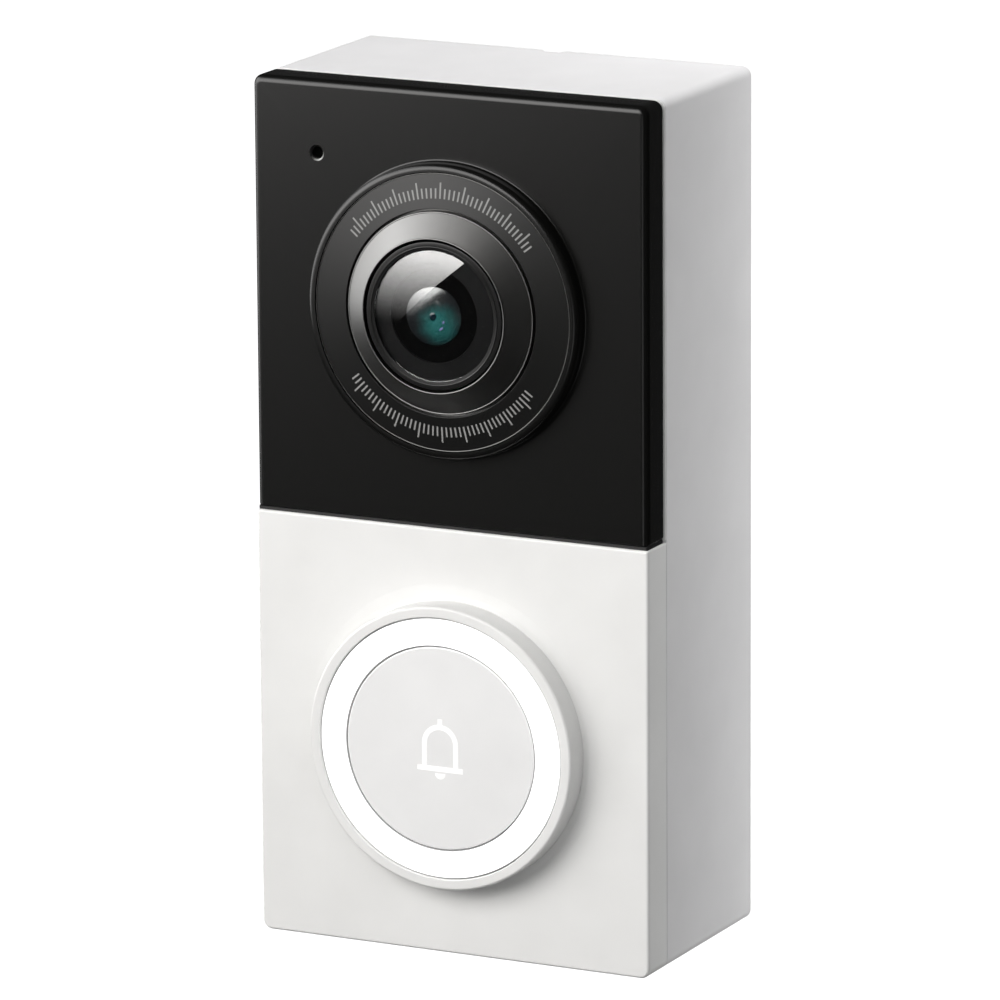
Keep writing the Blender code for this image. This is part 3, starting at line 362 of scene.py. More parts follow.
def surface(name, color, roughness, metallic=0.0, grain=0.15, grain_size=0.15, mottle=0.03, **sockets):
    """Moulded or finished surface: fine grain as bump, and slight blotches of colour and gloss.

    grain_size is in millimetres, and mottle is the share by which the colour varies. The material is kept
    in MATERIALS. Anything else is one of the shader's own sockets.
    """
    material = new_material(name)
    MATERIALS[name] = material
    add = node_maker(material)
    place = add("TexCoord")["Object"]
    blotch = add("TexNoise", {"Vector": place, "Scale": 1 / (BLOTCH_SIZE * MM), "Detail": 3.0})["Fac"]
    fine = add("TexNoise", {"Vector": place, "Scale": 1 / (grain_size * MM), "Detail": 2.0})["Fac"]
    tint = add("MapRange", {"Value": blotch, "From Min": 0.25, "From Max": 0.75,
                            "To Min": 1 - mottle, "To Max": 1 + mottle})["Result"]
    toned = add("VectorMath", {0: color, "Scale": tint}, operation="SCALE")["Vector"]
    gloss = add("MapRange", {"Value": fine, "From Min": 0.25, "From Max": 0.75,
                             "To Min": roughness * 0.92, "To Max": roughness * 1.08})["Result"]
    bump = add("Bump", {"Strength": grain, "Distance": GRAIN_DEPTH * MM, "Height": fine})["Normal"]
    set_sockets(material, Base_Color=toned, Roughness=gloss, Normal=bump, Metallic=metallic, **sockets)
    return material


def across_lens(add, place):
    """Where a point lies across the lens axis, with its depth along the axis left out."""
    shift = add("VectorMath", {0: place, 1: (-LENS[0], 0.0, -LENS[1])}, operation="ADD")["Vector"]
    return add("VectorMath", {0: shift, 1: (1.0, 0.0, 1.0)}, operation="MULTIPLY")["Vector"]


def turned_metal(name, color, roughness):
    """Metal finished on a lathe: fine rings round the lens axis."""
    material = surface(name, color, roughness, 1.0, grain=0.1, grain_size=0.08, mottle=0.04)
    add = node_maker(material)
    flat = across_lens(add, add("TexCoord")["Object"])
    radius = add("VectorMath", {0: flat}, operation="LENGTH")["Value"]
    rings = add("TexNoise", {"W": radius, "Scale": 1 / (LATHE_PITCH * MM), "Detail": 3.0},
                noise_dimensions="1D")["Fac"]
    bump = add("Bump", {"Strength": 0.12, "Distance": LATHE_DEPTH * MM, "Height": rings})["Normal"]
    set_sockets(material, Normal=bump)


def board_material(name, mask, trace):
    """A printed circuit board: a tracery of copper lines under the solder mask."""
    material = surface(name, mask, 0.35, grain=0.1, grain_size=0.3, mottle=0.06)
    add = node_maker(material)
    place = add("TexCoord")["Object"]
    cells = add("TexVoronoi", {"Vector": place, "Scale": 1 / (TRACE_CELL * MM), "Randomness": 0.7},
                feature="DISTANCE_TO_EDGE")["Distance"]
    line = add("MapRange", {"Value": cells, "From Min": 0.05, "From Max": 0.08, "To Min": 1.0,
                            "To Max": 0.0})["Result"]
    base = material.node_tree.nodes["Principled BSDF"].inputs["Base Color"].links[0].from_socket
    mix = add("Mix", {"Factor": line, "A": base, "B": (*trace, 1.0)}, data_type="RGBA")["Result"]
    set_sockets(material, Base_Color=mix)


def glass_material(name, color, film=0.0, coat=0.0):
    """Polished glass, with a faint unevenness, and a thin coating where film is its thickness in nm."""
    surface(name, color, 0.004, grain=0.004, grain_size=4.0, mottle=0.02, Transmission_Weight=1.0,
            IOR=1.5, Coat_Weight=coat, Coat_Roughness=0.01, Coat_IOR=1.58, Thin_Film_Thickness=film,
            Thin_Film_IOR=1.38)


def glowing(name, grey, strength):
    """Milky plastic that glows evenly: the light guide, lit from behind, and the icon, whose faint glow is
    painted to lift it above the cap.
    """
    surface(name, (grey, grey, grey), 0.35, grain=0.05, mottle=0.01, Emission_Color=WHITE,
            Emission_Strength=strength)


def painted_reflection_glass(name):
    """Dark lens glass with a painted reflection: a soft uneven teal patch, low and right of the middle, put
    into its base colour to stand for the coating's teal reflection.
    """
    material = surface(name, (0.003, 0.003, 0.004), 0.13, grain=0.004, grain_size=4.0)
    add = node_maker(material)
    place = add("TexCoord")["Object"]
    flat = across_lens(add, place)
    # painted reflection: a teal spot in the base colour, centred low and right of the lens axis, fading to
    # near-black away from it
    painted_reflection_spot = (0.9 * MM, 0.0, -1.1 * MM)
    reach = add("VectorMath", {0: flat, 1: painted_reflection_spot}, operation="DISTANCE")["Value"]
    cloud = add("TexNoise", {"Vector": place, "Scale": 1 / (1.6 * MM), "Detail": 2.0})["Fac"]
    wave = add("MapRange", {"Value": cloud, "To Min": -0.7 * MM, "To Max": 0.7 * MM})["Result"]
    depth = add("Math", {0: reach, 1: wave}, operation="ADD")["Value"]
    level = add("MapRange", {"Value": depth, "From Min": 0.4 * MM, "From Max": 3.9 * MM, "To Min": 1.0,
                             "To Max": 0.0}, interpolation_type="SMOOTHSTEP")["Result"]
    mix = add("Mix", {"Factor": level, "A": (0.003, 0.004, 0.005, 1.0), "B": (0.012, 0.125, 0.120, 1.0)},
              data_type="RGBA")["Result"]
    set_sockets(material, Base_Color=mix, IOR=2.0, Specular_IOR_Level=1.0)


def make_materials():
    for name, settings in FINISHES.items():
        surface(name, *settings)
    surface("optics_black", (0.0010, 0.0010, 0.0010), 0.8, grain=0.1, Specular_IOR_Level=0.02)
    surface("baffle_grey", (0.010, 0.010, 0.010), 0.7, grain=0.1, Specular_IOR_Level=0.1)
    surface("pupil_glass", (0.004, 0.012, 0.02), 0.03, grain=0.004, IOR=1.8)
    turned_metal("edge_metal", (0.20, 0.20, 0.195), 0.3)
    turned_metal("cone_graphite", (0.205, 0.204, 0.201), 0.38)
    # painted glow: lifts the printed icon's white above the cap
    glowing("icon_white", 0.95, 0.14)
    glowing("light_guide", 0.95, 1.05)
    glowing("guide_side", 0.34, 0.1)
    board_material("board_green", (0.01, 0.09, 0.035), (0.03, 0.20, 0.07))
    board_material("board_white", (0.72, 0.72, 0.70), (0.60, 0.60, 0.58))
    glass_material("lens_glass", (0.97, 0.98, 0.98), coat=1.0)
    glass_material("filter_tint", (0.45, 0.75, 0.85), film=380.0)
    # lens_coated: dark glass with a painted teal reflection in its colour
    painted_reflection_glass("lens_coated")


def dress_frame_nodes():
    """Every CAD node that stays gets the procedural material of its slot."""
    for entry in frame["record"]["subparts"]:
        node = frame["nodes"][entry["node"]]
        node.data.materials.clear()
        node.data.materials.append(MATERIALS[entry["material_slot"]])


# ---------------- mesh helpers

def finish(name, bm, look, body="housing", replaces="", sharp=SHARP_ANGLE):
    """Makes the piece in the material named look, shades it smooth and ties it to the frame.
    """
    bmesh.ops.remove_doubles(bm, verts=bm.verts, dist=0.0005 * MM)
    bmesh.ops.recalc_face_normals(bm, faces=bm.faces)
    mesh = new_mesh(name, bm)
    mesh.materials.append(MATERIALS[look])
    mesh.shade_smooth()
    mesh.set_sharp_from_angle(angle=math.radians(sharp))
    piece = add_object(name, mesh)
    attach(piece, body)
    if replaces:
        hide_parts(replaces)
    return piece


def weigh_normals(piece):
    modifier = piece.modifiers.new("weighted normals", "WEIGHTED_NORMAL")
    modifier.keep_sharp = True
    modifier.weight = 100
    return piece


def along(axis, u, v, w):
    """A point with u and v across the axis and w along it."""
    return {"Y": (u, w, v), "Z": (u, v, w), "X": (w, u, v)}[axis]


def bridge(bm, first, second):
    count = len(first)
    for i in range(count):
        j = (i + 1) % count
        corners = list(dict.fromkeys((first[i], first[j], second[j], second[i])))
        if len(corners) > 2:
            bm.faces.new(corners)


def from_lowest_angle(loop, centre):
    """The loop's (angle, vertex) pairs round centre, from the smallest angle upward."""
    pairs = [(math.atan2(v.co.z - centre[1], v.co.x - centre[0]) % TAU, v) for v in loop]
    start = min(range(len(pairs)), key=lambda i: pairs[i][0])
    pairs = pairs[start:] + pairs[:start]
    return pairs + [(pairs[0][0] + TAU, pairs[0][1])]


def bridge_uneven(bm, first, second, centre):
    """Triangles between two loops of different counts that both go round centre."""
    a = from_lowest_angle(first, centre)
    b = from_lowest_angle(second, centre)
    i = j = 0
    while i < len(a) - 1 or j < len(b) - 1:
        step_a = j == len(b) - 1 or (i < len(a) - 1 and a[i + 1][0] <= b[j + 1][0])
        if step_a:
            bm.faces.new((a[i][1], b[j][1], a[i + 1][1]))
            i += 1
        else:
            bm.faces.new((a[i][1], b[j][1], b[j + 1][1]))
            j += 1


def join_loops(bm, loops, centre, closed):
    pairs = list(zip(loops, loops[1:]))
    if closed:
        pairs.append((loops[-1], loops[0]))
    for first, second in pairs:
        if len(first) == len(second):
            bridge(bm, first, second)
        elif min(len(first), len(second)) == 1:
            tip, loop = sorted((first, second), key=len)
            for i, vertex in enumerate(loop):
                bm.faces.new((vertex, loop[(i + 1) % len(loop)], tip[0]))
        else:
            bridge_uneven(bm, first, second, centre)


def arc(centre, radius, start, end, steps):
    """Points along an arc in a profile, with angles in degrees."""
    points = []
    for step in range(steps + 1):
        angle = math.radians(start + (end - start) * step / steps)
        points.append((centre[0] + radius * math.cos(angle), centre[1] + radius * math.sin(angle)))
    return points


def outline_points(rect, radii, segments=10, side_steps=16):
    """Points round a rectangle (left, bottom, right, top); radii are for its lower and upper corners."""
    left, bottom, right, top = rect
    low, high = radii
    corners = [(right - low, bottom + low, low, -90), (right - high, top - high, high, 0),
               (left + high, top - high, high, 90), (left + low, bottom + low, low, 180)]
    points = []
    for u, v, radius, start in corners:
        turn = arc((u, v), radius, start, start + 90, segments)
        if points:
            points += between(points[-1], turn[0], side_steps)
        points += turn
    return points + between(points[-1], points[0], side_steps)


def between(first, last, steps):
    """Evenly spaced points between two others, without the two themselves."""
    return [(first[0] + (last[0] - first[0]) * step / steps, first[1] + (last[1] - first[1]) * step / steps)
            for step in range(1, steps)]


def inset_rect(rect, sides, base=None):
    """A rectangle moved in by sides, and its lower edge by base where that differs."""
    left, bottom, right, top = rect
    base = sides if base is None else base
    return (left + sides, bottom + base, right - sides, top - sides)


def outline_loop(bm, rect, radii, place, sides=0.0, base=None, axis="Y", segments=10):
    shrunk = [max(radius - sides, SMALLEST_RADIUS) for radius in radii]
    points = outline_points(inset_rect(rect, sides, base), shrunk, segments)
    return [bm.verts.new(along(axis, u, v, place)) for u, v in points]


def circle_loop(bm, centre, radius, place, count=ROUND, axis="Y"):
    if radius == 0:
        return [bm.verts.new(along(axis, centre[0], centre[1], place))]
    loop = []
    for step in range(count):
        angle = TAU * step / count
        u = centre[0] + radius * math.cos(angle)
        v = centre[1] + radius * math.sin(angle)
        loop.append(bm.verts.new(along(axis, u, v, place)))
    return loop


def turned_mesh(centre, profile, closed=False, count=ROUND, axis="Y"):
    """A turned shape. profile is (radius, place) from end to end; closed joins its ends into a ring."""
    bm = bmesh.new()
    loops = [circle_loop(bm, centre, radius, place, count, axis) for radius, place in profile]
    join_loops(bm, loops, centre, closed)
    if not closed:
        for end in (loops[0], loops[-1]):
            if len(end) > 2:
                bm.faces.new(end)
    return bm


def close_tube(bm, loops):
    """Joins the loops one after the other, and closes both ends."""
    join_loops(bm, loops, None, False)
    bm.faces.new(loops[0])
    bm.faces.new(loops[-1])
    return bm


def slab_mesh(rect, radius, levels, axis="Y", segments=8):
    """A solid with a rounded outline; levels are (place, inset)."""
    bm = bmesh.new()
    return close_tube(bm, [outline_loop(bm, rect, (radius, radius), place, inset, None, axis, segments)
                           for place, inset in levels])


def prism_mesh(outline, start, end, axis="Y"):
    bm = bmesh.new()
    return close_tube(bm, [[bm.verts.new(along(axis, u, v, place)) for u, v in outline]
                           for place in (start, end)])


def carve(piece, *cutters):
    """Cuts solids out of a piece and applies the result, so that no cutter is left."""
    for index, bm in enumerate(cutters):
        bmesh.ops.recalc_face_normals(bm, faces=bm.faces)
        name = f"{piece.name}_cutter_{index}"
        cutter = add_object(name, new_mesh(name, bm))
        modifier = piece.modifiers.new("cut", "BOOLEAN")
        modifier.operation = "DIFFERENCE"
        modifier.solver = "EXACT"
        modifier.object = cutter
        bpy.context.view_layer.update()
        evaluated = piece.evaluated_get(bpy.context.evaluated_depsgraph_get())
        result = bpy.data.meshes.new_from_object(evaluated)
        piece.modifiers.clear()
        piece.data = result
        bpy.data.objects.remove(cutter)
    piece.data.shade_smooth()
    piece.data.set_sharp_from_angle(angle=math.radians(SHARP_ANGLE))
    return piece


def measured(start, *points):
    """Profile points (radius, place), given in millimetres with each place counted from start."""
    return [(radius, start + place) for radius, place in mm(*points)]


def centred(width, height, u=0.0, v=0.0):
    return (u - width / 2, v - height / 2, u + width / 2, v + height / 2)


def fillet_levels(place, radius, toward, steps=6):
    """(place, inset) along a rounded edge that ends on a face at place; toward is +1 or -1 on the axis."""
    levels = []
    for step in range(steps + 1):
        angle = math.radians(90 * step / steps)
        levels.append((place - toward * radius * (1 - math.sin(angle)), radius * (1 - math.cos(angle))))
    return levels


# ---------------- shells

def make_housing_shell():
    """The white rear housing: a deep tub in front, and a shallow recess for the wall plate behind."""
    rear_wall, rear_mouth, lead, front_wall = mm(2.0, 1.8, 0.2, 2.2)
    levels = [(PANEL_REAR_Y, rear_wall), (REAR_RIM_Y - lead, rear_wall), (REAR_RIM_Y, rear_mouth)]
    levels += fillet_levels(REAR_RIM_Y, 0.25 * MM, 1)[::-1]
    levels += fillet_levels(HOUSING_FRONT_Y, 0.12 * MM, -1, 3)
    levels += [(HOUSING_FRONT_Y, front_wall), (PANEL_FRONT_Y, front_wall)]
    tub = slab_mesh(BODY, CORNER_RADIUS, levels, segments=10)
    shell = finish("housing_shell", tub, "white_shell", replaces="rear_housing")
    carve(shell, *rear_cutters(), *bottom_cutters())
    return weigh_normals(shell)


def rear_cutters():
    """The terminal window, lug windows, screw holes and latch notch of the rear panel."""
    past, lead = mm(1, 0.25)
    through = [(PANEL_FRONT_Y - past, 0), (PANEL_REAR_Y - lead, 0), (PANEL_REAR_Y, -lead),
               (PANEL_REAR_Y + past, -lead - past)]
    yield slab_mesh(centred(*mm(24, 12.4), 0, TERMINAL_Z), 1 * MM, through)
    for side in (-1, 1):
        yield slab_mesh(centred(*mm(9.4, 6.4), side * LUG_X, LUG_Z), 0.5 * MM, through)
    for index in (1, 2, 3, 4):
        place = axis_of(f"case_screw_{index}")
        yield turned_mesh(place, [(1.6 * MM, PANEL_FRONT_Y - past), (1.6 * MM, PANEL_REAR_Y + past)],
                          count=32)
    yield slab_mesh(mm(-5, 63, 5, 65), 0.2 * MM,
                    [(-3.5 * MM, 0), (-1.8 * MM, 0)])
    narrow, wide, behind = mm(1.25, 2.0, 0.5)
    floor_y = REAR_RIM_Y - 1.4 * MM
    bend_y = REAR_RIM_Y - 0.1 * MM
    notch = [(-wide, behind), (-wide, bend_y), (-narrow, floor_y), (narrow, floor_y), (wide, bend_y),
             (wide, behind)]
    yield prism_mesh(notch, 63 * MM, 67 * MM, "Z")


def bottom_cutters():
    """The speaker slots, the flap's recess, the socket's mouth and the reset hole."""
    bottom = -HALF_HEIGHT
    past, lead, inside, reset = mm(1, 0.2, -62, 1.1)
    flare = [(bottom - past, -lead - past), (bottom, -lead), (bottom + lead, 0)]
    mouth = flare + [(inside, 0)]
    recess = flare + [(bottom + 1.2 * MM, 0)]
    for index in range(SPEAKER_SLOTS):
        x = (index - (SPEAKER_SLOTS - 1) / 2) * SPEAKER_PITCH
        yield slab_mesh(centred(*mm(1.6, 8), x, SPEAKER_Y), 0.79 * MM, mouth, "Z")
    yield slab_mesh(centred(*mm(18.4, 8.6), 0, PORT_Y), 1 * MM, recess, "Z")
    yield slab_mesh(centred(*mm(10.2, 4.6), 0, PORT_Y), 2 * MM, [(bottom, 0), (inside, 0)], "Z")
    yield turned_mesh((RESET_X, PORT_Y), [(reset, bottom), (reset, inside)], count=32, axis="Z")


def make_front_shell():
    """The white lower front: rounded edges, and a soft swell around the button's rim."""
    rect = (-HALF_WIDTH, -HALF_HEIGHT, HALF_WIDTH, SPLIT_Z - SEAM_GAP)
    radii = (CORNER_RADIUS, 0.3 * MM)
    wall, swell, rim_edge, bore_edge = mm(3.9, 0.08, 0.45, 0.12)
    inner_y = FRONT_Y + 1.8 * MM
    bore = LIGHT_RADIUS + 0.3 * MM
    crest = RIM_RADIUS + 1.0 * MM
    bm = bmesh.new()
    loops = [outline_loop(bm, rect, radii, FRONT_SEAM_Y, wall)]
    for place, inset in fillet_levels(FRONT_SEAM_Y, 0.12 * MM, 1, 3)[::-1]:
        loops.append(outline_loop(bm, rect, radii, place, inset))
    for place, inset in fillet_levels(FRONT_Y, 0.5 * MM, -1, 6):
        loops.append(outline_loop(bm, rect, radii, place, inset))
    waves = [math.cos(math.pi * step / 10) for step in range(11)]
    profile = [(crest + (FLARE_RADIUS - crest) * (1 + u) / 2, FRONT_Y - swell * (1 - u) / 2) for u in waves]
    profile += [(RIM_RADIUS + (crest - RIM_RADIUS) * (1 + u) / 2, FRONT_Y - swell * (1 + u) / 2)
                for u in waves[1:]]
    profile += arc((RIM_RADIUS - rim_edge, RIM_Y + rim_edge), rim_edge, 0, -90, 6)
    profile += arc((bore + bore_edge, RIM_Y + bore_edge), bore_edge, -90, -180, 3)
    profile.append((bore, inner_y))
    loops += [circle_loop(bm, BUTTON, radius, place) for radius, place in profile]
    loops.append(outline_loop(bm, rect, radii, inner_y, wall))
    join_loops(bm, loops, BUTTON, True)
    shell = finish("front_shell", bm, "white_front", replaces="front_frame")
    return weigh_normals(shell)


def make_carrier():
    """The white lip behind the black cover, and the carrier plate that the camera parts sit on."""
    bm = bmesh.new()
    wall, lip, seat = mm(3.9, 2.3, 20.8)
    front_y = FRONT_Y + 2.1 * MM
    rear_y = FRONT_Y + 3.7 * MM
    lip_front = FRONT_SEAM_Y - 0.35 * MM
    rect = (-HALF_WIDTH, SPLIT_Z, HALF_WIDTH, HALF_HEIGHT)
    radii = (0.3 * MM, CORNER_RADIUS)
    levels = [(FRONT_SEAM_Y, 2.2 * MM)]
    levels += fillet_levels(FRONT_SEAM_Y, 0.1 * MM, 1, 2)[::-1]
    levels += fillet_levels(lip_front, 0.1 * MM, -1, 2)
    levels += [(lip_front, lip), (front_y, lip)]
    loops = [outline_loop(bm, rect, radii, place, inset) for place, inset in levels]
    loops += [circle_loop(bm, LENS, seat, place) for place in (front_y, rear_y)]
    loops += [outline_loop(bm, rect, radii, place, wall) for place in (rear_y, FRONT_SEAM_Y)]
    join_loops(bm, loops, LENS, True)
    carrier = finish("cover_carrier", bm, "white_front")
    return weigh_normals(carrier)


def make_cover_shell():
    """The black camera cover: soft front edges and a round boss with the seat for the disc."""
    gap = 0.05 * MM
    rect = (-HALF_WIDTH + gap, SPLIT_Z + 0.25 * MM, HALF_WIDTH - gap, HALF_HEIGHT - gap)
    radii = (0.5 * MM, CORNER_RADIUS)
    rear_y = COVER_HIGH.y
    inner_y = FRONT_Y + 1.8 * MM
    edge, wall, base, pocket = mm(1.1, 2.0, 0.7, 20.2)
    base_share = 0.2
    bm = bmesh.new()
    loops = [outline_loop(bm, rect, radii, rear_y, wall, base)]
    for place, inset in fillet_levels(rear_y, 0.15 * MM, 1, 3)[::-1]:
        loops.append(outline_loop(bm, rect, radii, place, inset))
    for place, inset in fillet_levels(FRONT_Y, edge, -1, 10):
        loops.append(outline_loop(bm, rect, radii, place, inset, inset * base_share))
    root = 0.3 * MM
    profile = arc((BOSS_RADIUS + root, FRONT_Y - root), root, 90, 180, 4)
    profile += arc((BOSS_RADIUS - BOSS_EDGE, BOSS_FRONT_Y + BOSS_EDGE), BOSS_EDGE, 0, -90, 10)
    seat = DISC_RADIUS + 0.15 * MM
    seat_y = FRONT_Y - 1.0 * MM
    profile += [(seat, BOSS_FRONT_Y), (seat, seat_y), (CONE_RADIUS + 0.5 * MM, seat_y)]
    profile += [(CONE_RADIUS + 0.5 * MM, FRONT_Y - 0.1 * MM), (pocket, FRONT_Y - 0.1 * MM), (pocket, inner_y)]
    loops += [circle_loop(bm, LENS, radius, place) for radius, place in profile]
    loops.append(outline_loop(bm, rect, radii, inner_y, wall, base))
    join_loops(bm, loops, LENS, True)
    cover = finish("cover_shell", bm, "cover_black", replaces="camera_cover")
    hole = measured(FRONT_Y, (0.9, 3), (0.9, 0.65), (1.22, 0.65), (1.22, -1))
    carve(cover, turned_mesh(MIC_HOLE, hole, count=48))
    return weigh_normals(cover)


def make_split_gasket():
    """The black gasket line between the black cover and the white front."""
    rect = (-HALF_WIDTH + 0.2 * MM, SPLIT_Z - SEAM_GAP, HALF_WIDTH - 0.2 * MM, SPLIT_Z + 0.3 * MM)
    levels = [(COVER_HIGH.y, 0), (FRONT_Y + 0.35 * MM, 0), (FRONT_Y + 0.12 * MM, 0.12 * MM)]
    gasket = finish("split_gasket", slab_mesh(rect, 0.1 * MM, levels), "gasket_grey")
    weigh_normals(gasket)


def make_mic_mesh():
    """A black foam disc at the bottom of the microphone hole, and a metal ring at its mouth."""
    foam = measured(FRONT_Y, (0, 1.0), (0.9, 0.95), (1.5, 0.9), (1.5, 1.7), (0, 1.7))
    finish("mic_foam", turned_mesh(MIC_HOLE, foam, count=32), "optics_black")
    ring = measured(FRONT_Y, (1.2, 0.03), (0.96, 0.19), (0.96, 0.6), (1.2, 0.6))
    finish("mic_ring", turned_mesh(MIC_HOLE, ring, True, 48), "edge_metal")


# ---------------- camera

def camera_piece(name, profile, look, replaces="", closed=True, sharp=SHARP_ANGLE):
    piece = finish(name, turned_mesh(LENS, profile, closed), look, "housing", replaces, sharp)
    return weigh_normals(piece)


def disc_face(radius):
    """The disc's face rises slightly towards the lens."""
    share = (DISC_RADIUS - radius) / (DISC_RADIUS - CONE_RADIUS)
    return DISC_LOW.y + 0.2 * MM - 0.55 * MM * share


def make_disc():
    """The charcoal disc, a bright edge line round it, and two arcs of printed ticks."""
    inner = CONE_RADIUS
    edge = 0.1 * MM
    profile = [(inner, DISC_HIGH.y), (DISC_RADIUS, DISC_HIGH.y)]
    profile += arc((DISC_RADIUS - edge, disc_face(DISC_RADIUS) + edge), edge, 0, -80, 3)
    profile += arc((inner + edge, disc_face(inner) + edge), edge, -95, -180, 3)
    camera_piece("trim_disc", profile, "trim_charcoal", replaces="lens_trim_disc")
    line = arc((DISC_RADIUS, disc_face(DISC_RADIUS)), 0.08 * MM, 0, 330, 11)
    camera_piece("disc_edge_line", line, "edge_metal")
    ticks = bmesh.new()
    for middle in (90, 270):
        for index in range(-TICKS_EACH_SIDE, TICKS_EACH_SIDE + 1):
            length = 2.4 * MM if index % 5 == 0 else 1.5 * MM
            angle = math.radians(middle + index * TICK_STEP)
            add_tick(ticks, angle, 17.2 * MM, length, 0.26 * MM)
    finish("disc_ticks", ticks, "tick_grey", "housing")


def add_tick(bm, angle, radius, length, width):
    """One printed tick: a thin raised bar that points outward from the lens."""
    outward = Vector((math.cos(angle), 0, math.sin(angle)))
    across = Vector((-outward.z, 0, outward.x)) * width / 2
    middle = Vector((LENS[0], 0, LENS[1]))
    corners = []
    for lift in mm(0.05, -0.015):
        for distance, side in ((radius, -1), (radius + length, -1), (radius + length, 1), (radius, 1)):
            base = middle + Vector((0, disc_face(distance) + lift, 0))
            corners.append(bm.verts.new(base + outward * distance + across * side))
    close_tube(bm, [corners[:4], corners[4:]])


def make_lens_rings():
    """The satin graphite cone with its fine edges, and the black retaining ring inside it."""
    bead = 0.15 * MM
    outer = (15.3 * MM - bead, -39.68 * MM)
    inner = mm(11.62, -42.08)
    profile = [(CONE_RADIUS, CONE_REAR_Y), (CONE_RADIUS, -38.6 * MM), (outer[0] + bead, -38.6 * MM)]
    profile += arc(outer, bead, 0, -124, 8)
    end = (inner[0] + 0.16 * MM, inner[1] + 0.02 * MM)
    profile += between(profile[-1], end, 12) + [end]
    profile += arc(inner, bead, -50, -180, 7)
    profile += [(inner[0] - bead, -40.0 * MM), mm(14.6, -38.4), (14.6 * MM, CONE_REAR_Y)]
    camera_piece("cone_ring", profile, "cone_graphite", replaces="lens_cone_ring",
                 sharp=20.0)
    radius = RETAINER_HIGH.x + 0.05 * MM
    top_y = RETAINER_LOW.y
    lip = 9.85 * MM
    flat_y = top_y + 0.34 * MM
    ring = [(10.3 * MM, RETAINER_HIGH.y), (radius, RETAINER_HIGH.y), (radius, flat_y + 0.1 * MM)]
    ring += arc((radius - 0.1 * MM, flat_y + 0.1 * MM), 0.1 * MM, 0, -90, 4)
    ring += arc((lip + 0.55 * MM, flat_y), 0.12 * MM, 0, -180, 6)
    ring += [(lip, flat_y + 0.04 * MM), (lip, flat_y + 0.1 * MM), (10.3 * MM, flat_y + 0.1 * MM)]
    camera_piece("retaining_ring", ring, "ring_black", replaces="lens_retaining_ring",
                 sharp=25.0)


def cap_profile(rim_radius, rim_y, sag, steps):
    """Profile points of a spherical cap from its tip to its rim, bulging towards -Y."""
    radius = (rim_radius ** 2 + sag ** 2) / (2 * sag)
    half_angle = math.asin(rim_radius / radius)
    centre_y = rim_y - sag + radius
    points = [(0, rim_y - sag)]
    for step in range(1, steps + 1):
        angle = half_angle * step / steps
        points.append((radius * math.sin(angle), centre_y - radius * math.cos(angle)))
    return points


def make_optics():
    """The glass dome, the stepped black baffle just behind it and the inner lens elements, which carry a
    painted teal reflection, with painted violet glints.
    """
    sag = 0.9 * MM
    apex = DOME_LOW.y
    outer = cap_profile(DOME_HIGH.x, apex + sag, sag, 14)
    inner = cap_profile(DOME_HIGH.x, apex + sag + 0.3 * MM, sag, 14)
    dome = camera_piece("dome_glass", outer + inner[::-1], "lens_glass", replaces="lens_dome", closed=False)
    dome.visible_shadow = False
    seat = measured(apex, (10.1, 1.4), (7.1, 0.85), (7.0, 1.1), (7.0, 3.0), (10.1, 3.0))
    camera_piece("baffle_ring", seat, "baffle_grey", "iris_ring")
    well = measured(apex, (7.3, 1.1), (4.5, 0.9), (4.45, 3.0), (7.3, 3.0))
    camera_piece("iris_well", well, "optics_black")
    lens = cap_profile(4.35 * MM, apex + 0.85 * MM, 0.42 * MM, 14) + measured(apex, (4.35, 3.0), (0, 3.0))
    front = camera_piece("inner_lens", lens, "lens_coated", "front_lens", closed=False)
    pivot = Matrix.Translation((LENS[0], apex + 0.6 * MM, LENS[1]))
    front.data.transform(pivot @ Matrix.Rotation(math.radians(INNER_LENS_TILT), 4, "Z") @ pivot.inverted())
    second = cap_profile(2.5 * MM, apex + 0.60 * MM, 0.14 * MM, 10) + measured(apex, (2.5, 0.8), (0, 0.8))
    camera_piece("second_lens", second, "lens_coated", closed=False)
    pupil = cap_profile(0.6 * MM, apex + 0.42 * MM, 0.08 * MM, 8) + measured(apex, (0.6, 0.62), (0, 0.6))
    camera_piece("pupil_lens", pupil, "pupil_glass", closed=False)
    # painted glints: short violet arcs over the inner lens
    for name, radius, start, end in (("glint_outer", 2.2, -62, -40), ("glint_side", 1.9, -30, -14),
                                     ("glint_inner", 1.35, 195, 250)):
        make_painted_glint(name, radius * MM, start, end)


def make_painted_glint(name, radius, start, end):
    """A short violet arc: a painted glint that stands for the coating's reflection at an inner lens edge."""
    bm = bmesh.new()
    rings = []
    for step in range(13):
        share = step / 12
        angle = math.radians(start + (end - start) * share)
        thick = 0.14 * MM * math.sin(math.pi * min(max(share, 0.06), 0.94))
        ring = []
        for side in range(8):
            turn = TAU * side / 8
            reach = radius + thick * math.cos(turn)
            ring.append(bm.verts.new((LENS[0] + reach * math.cos(angle),
                                      DOME_LOW.y + 0.48 * MM + 0.3 * thick * math.sin(turn),
                                      LENS[1] + reach * math.sin(angle))))
        rings.append(ring)
    close_tube(bm, rings)
    finish(name, bm, "glint_violet", "housing")


# ---------------- button

def make_cap():
    """The button's cap: a hollow disc with a soft edge and a post that reaches the switch."""
    edge = 0.25 * MM
    profile = [(0, CAP_LOW.y)] + arc((CAP_RADIUS - edge, CAP_LOW.y + edge), edge, -90, 0, 5)
    skirt_y, roof_y, skirt, post = mm(-38.6, -39.8, 14.4, 3)
    profile += [(CAP_RADIUS, skirt_y), (skirt, skirt_y), (skirt, roof_y), (post, roof_y),
                (post, CAP_HIGH.y), (0, CAP_HIGH.y)]
    cap = finish("cap", turned_mesh(BUTTON, profile), "cap_grey", "button", replaces="button_cap")
    return weigh_normals(cap)


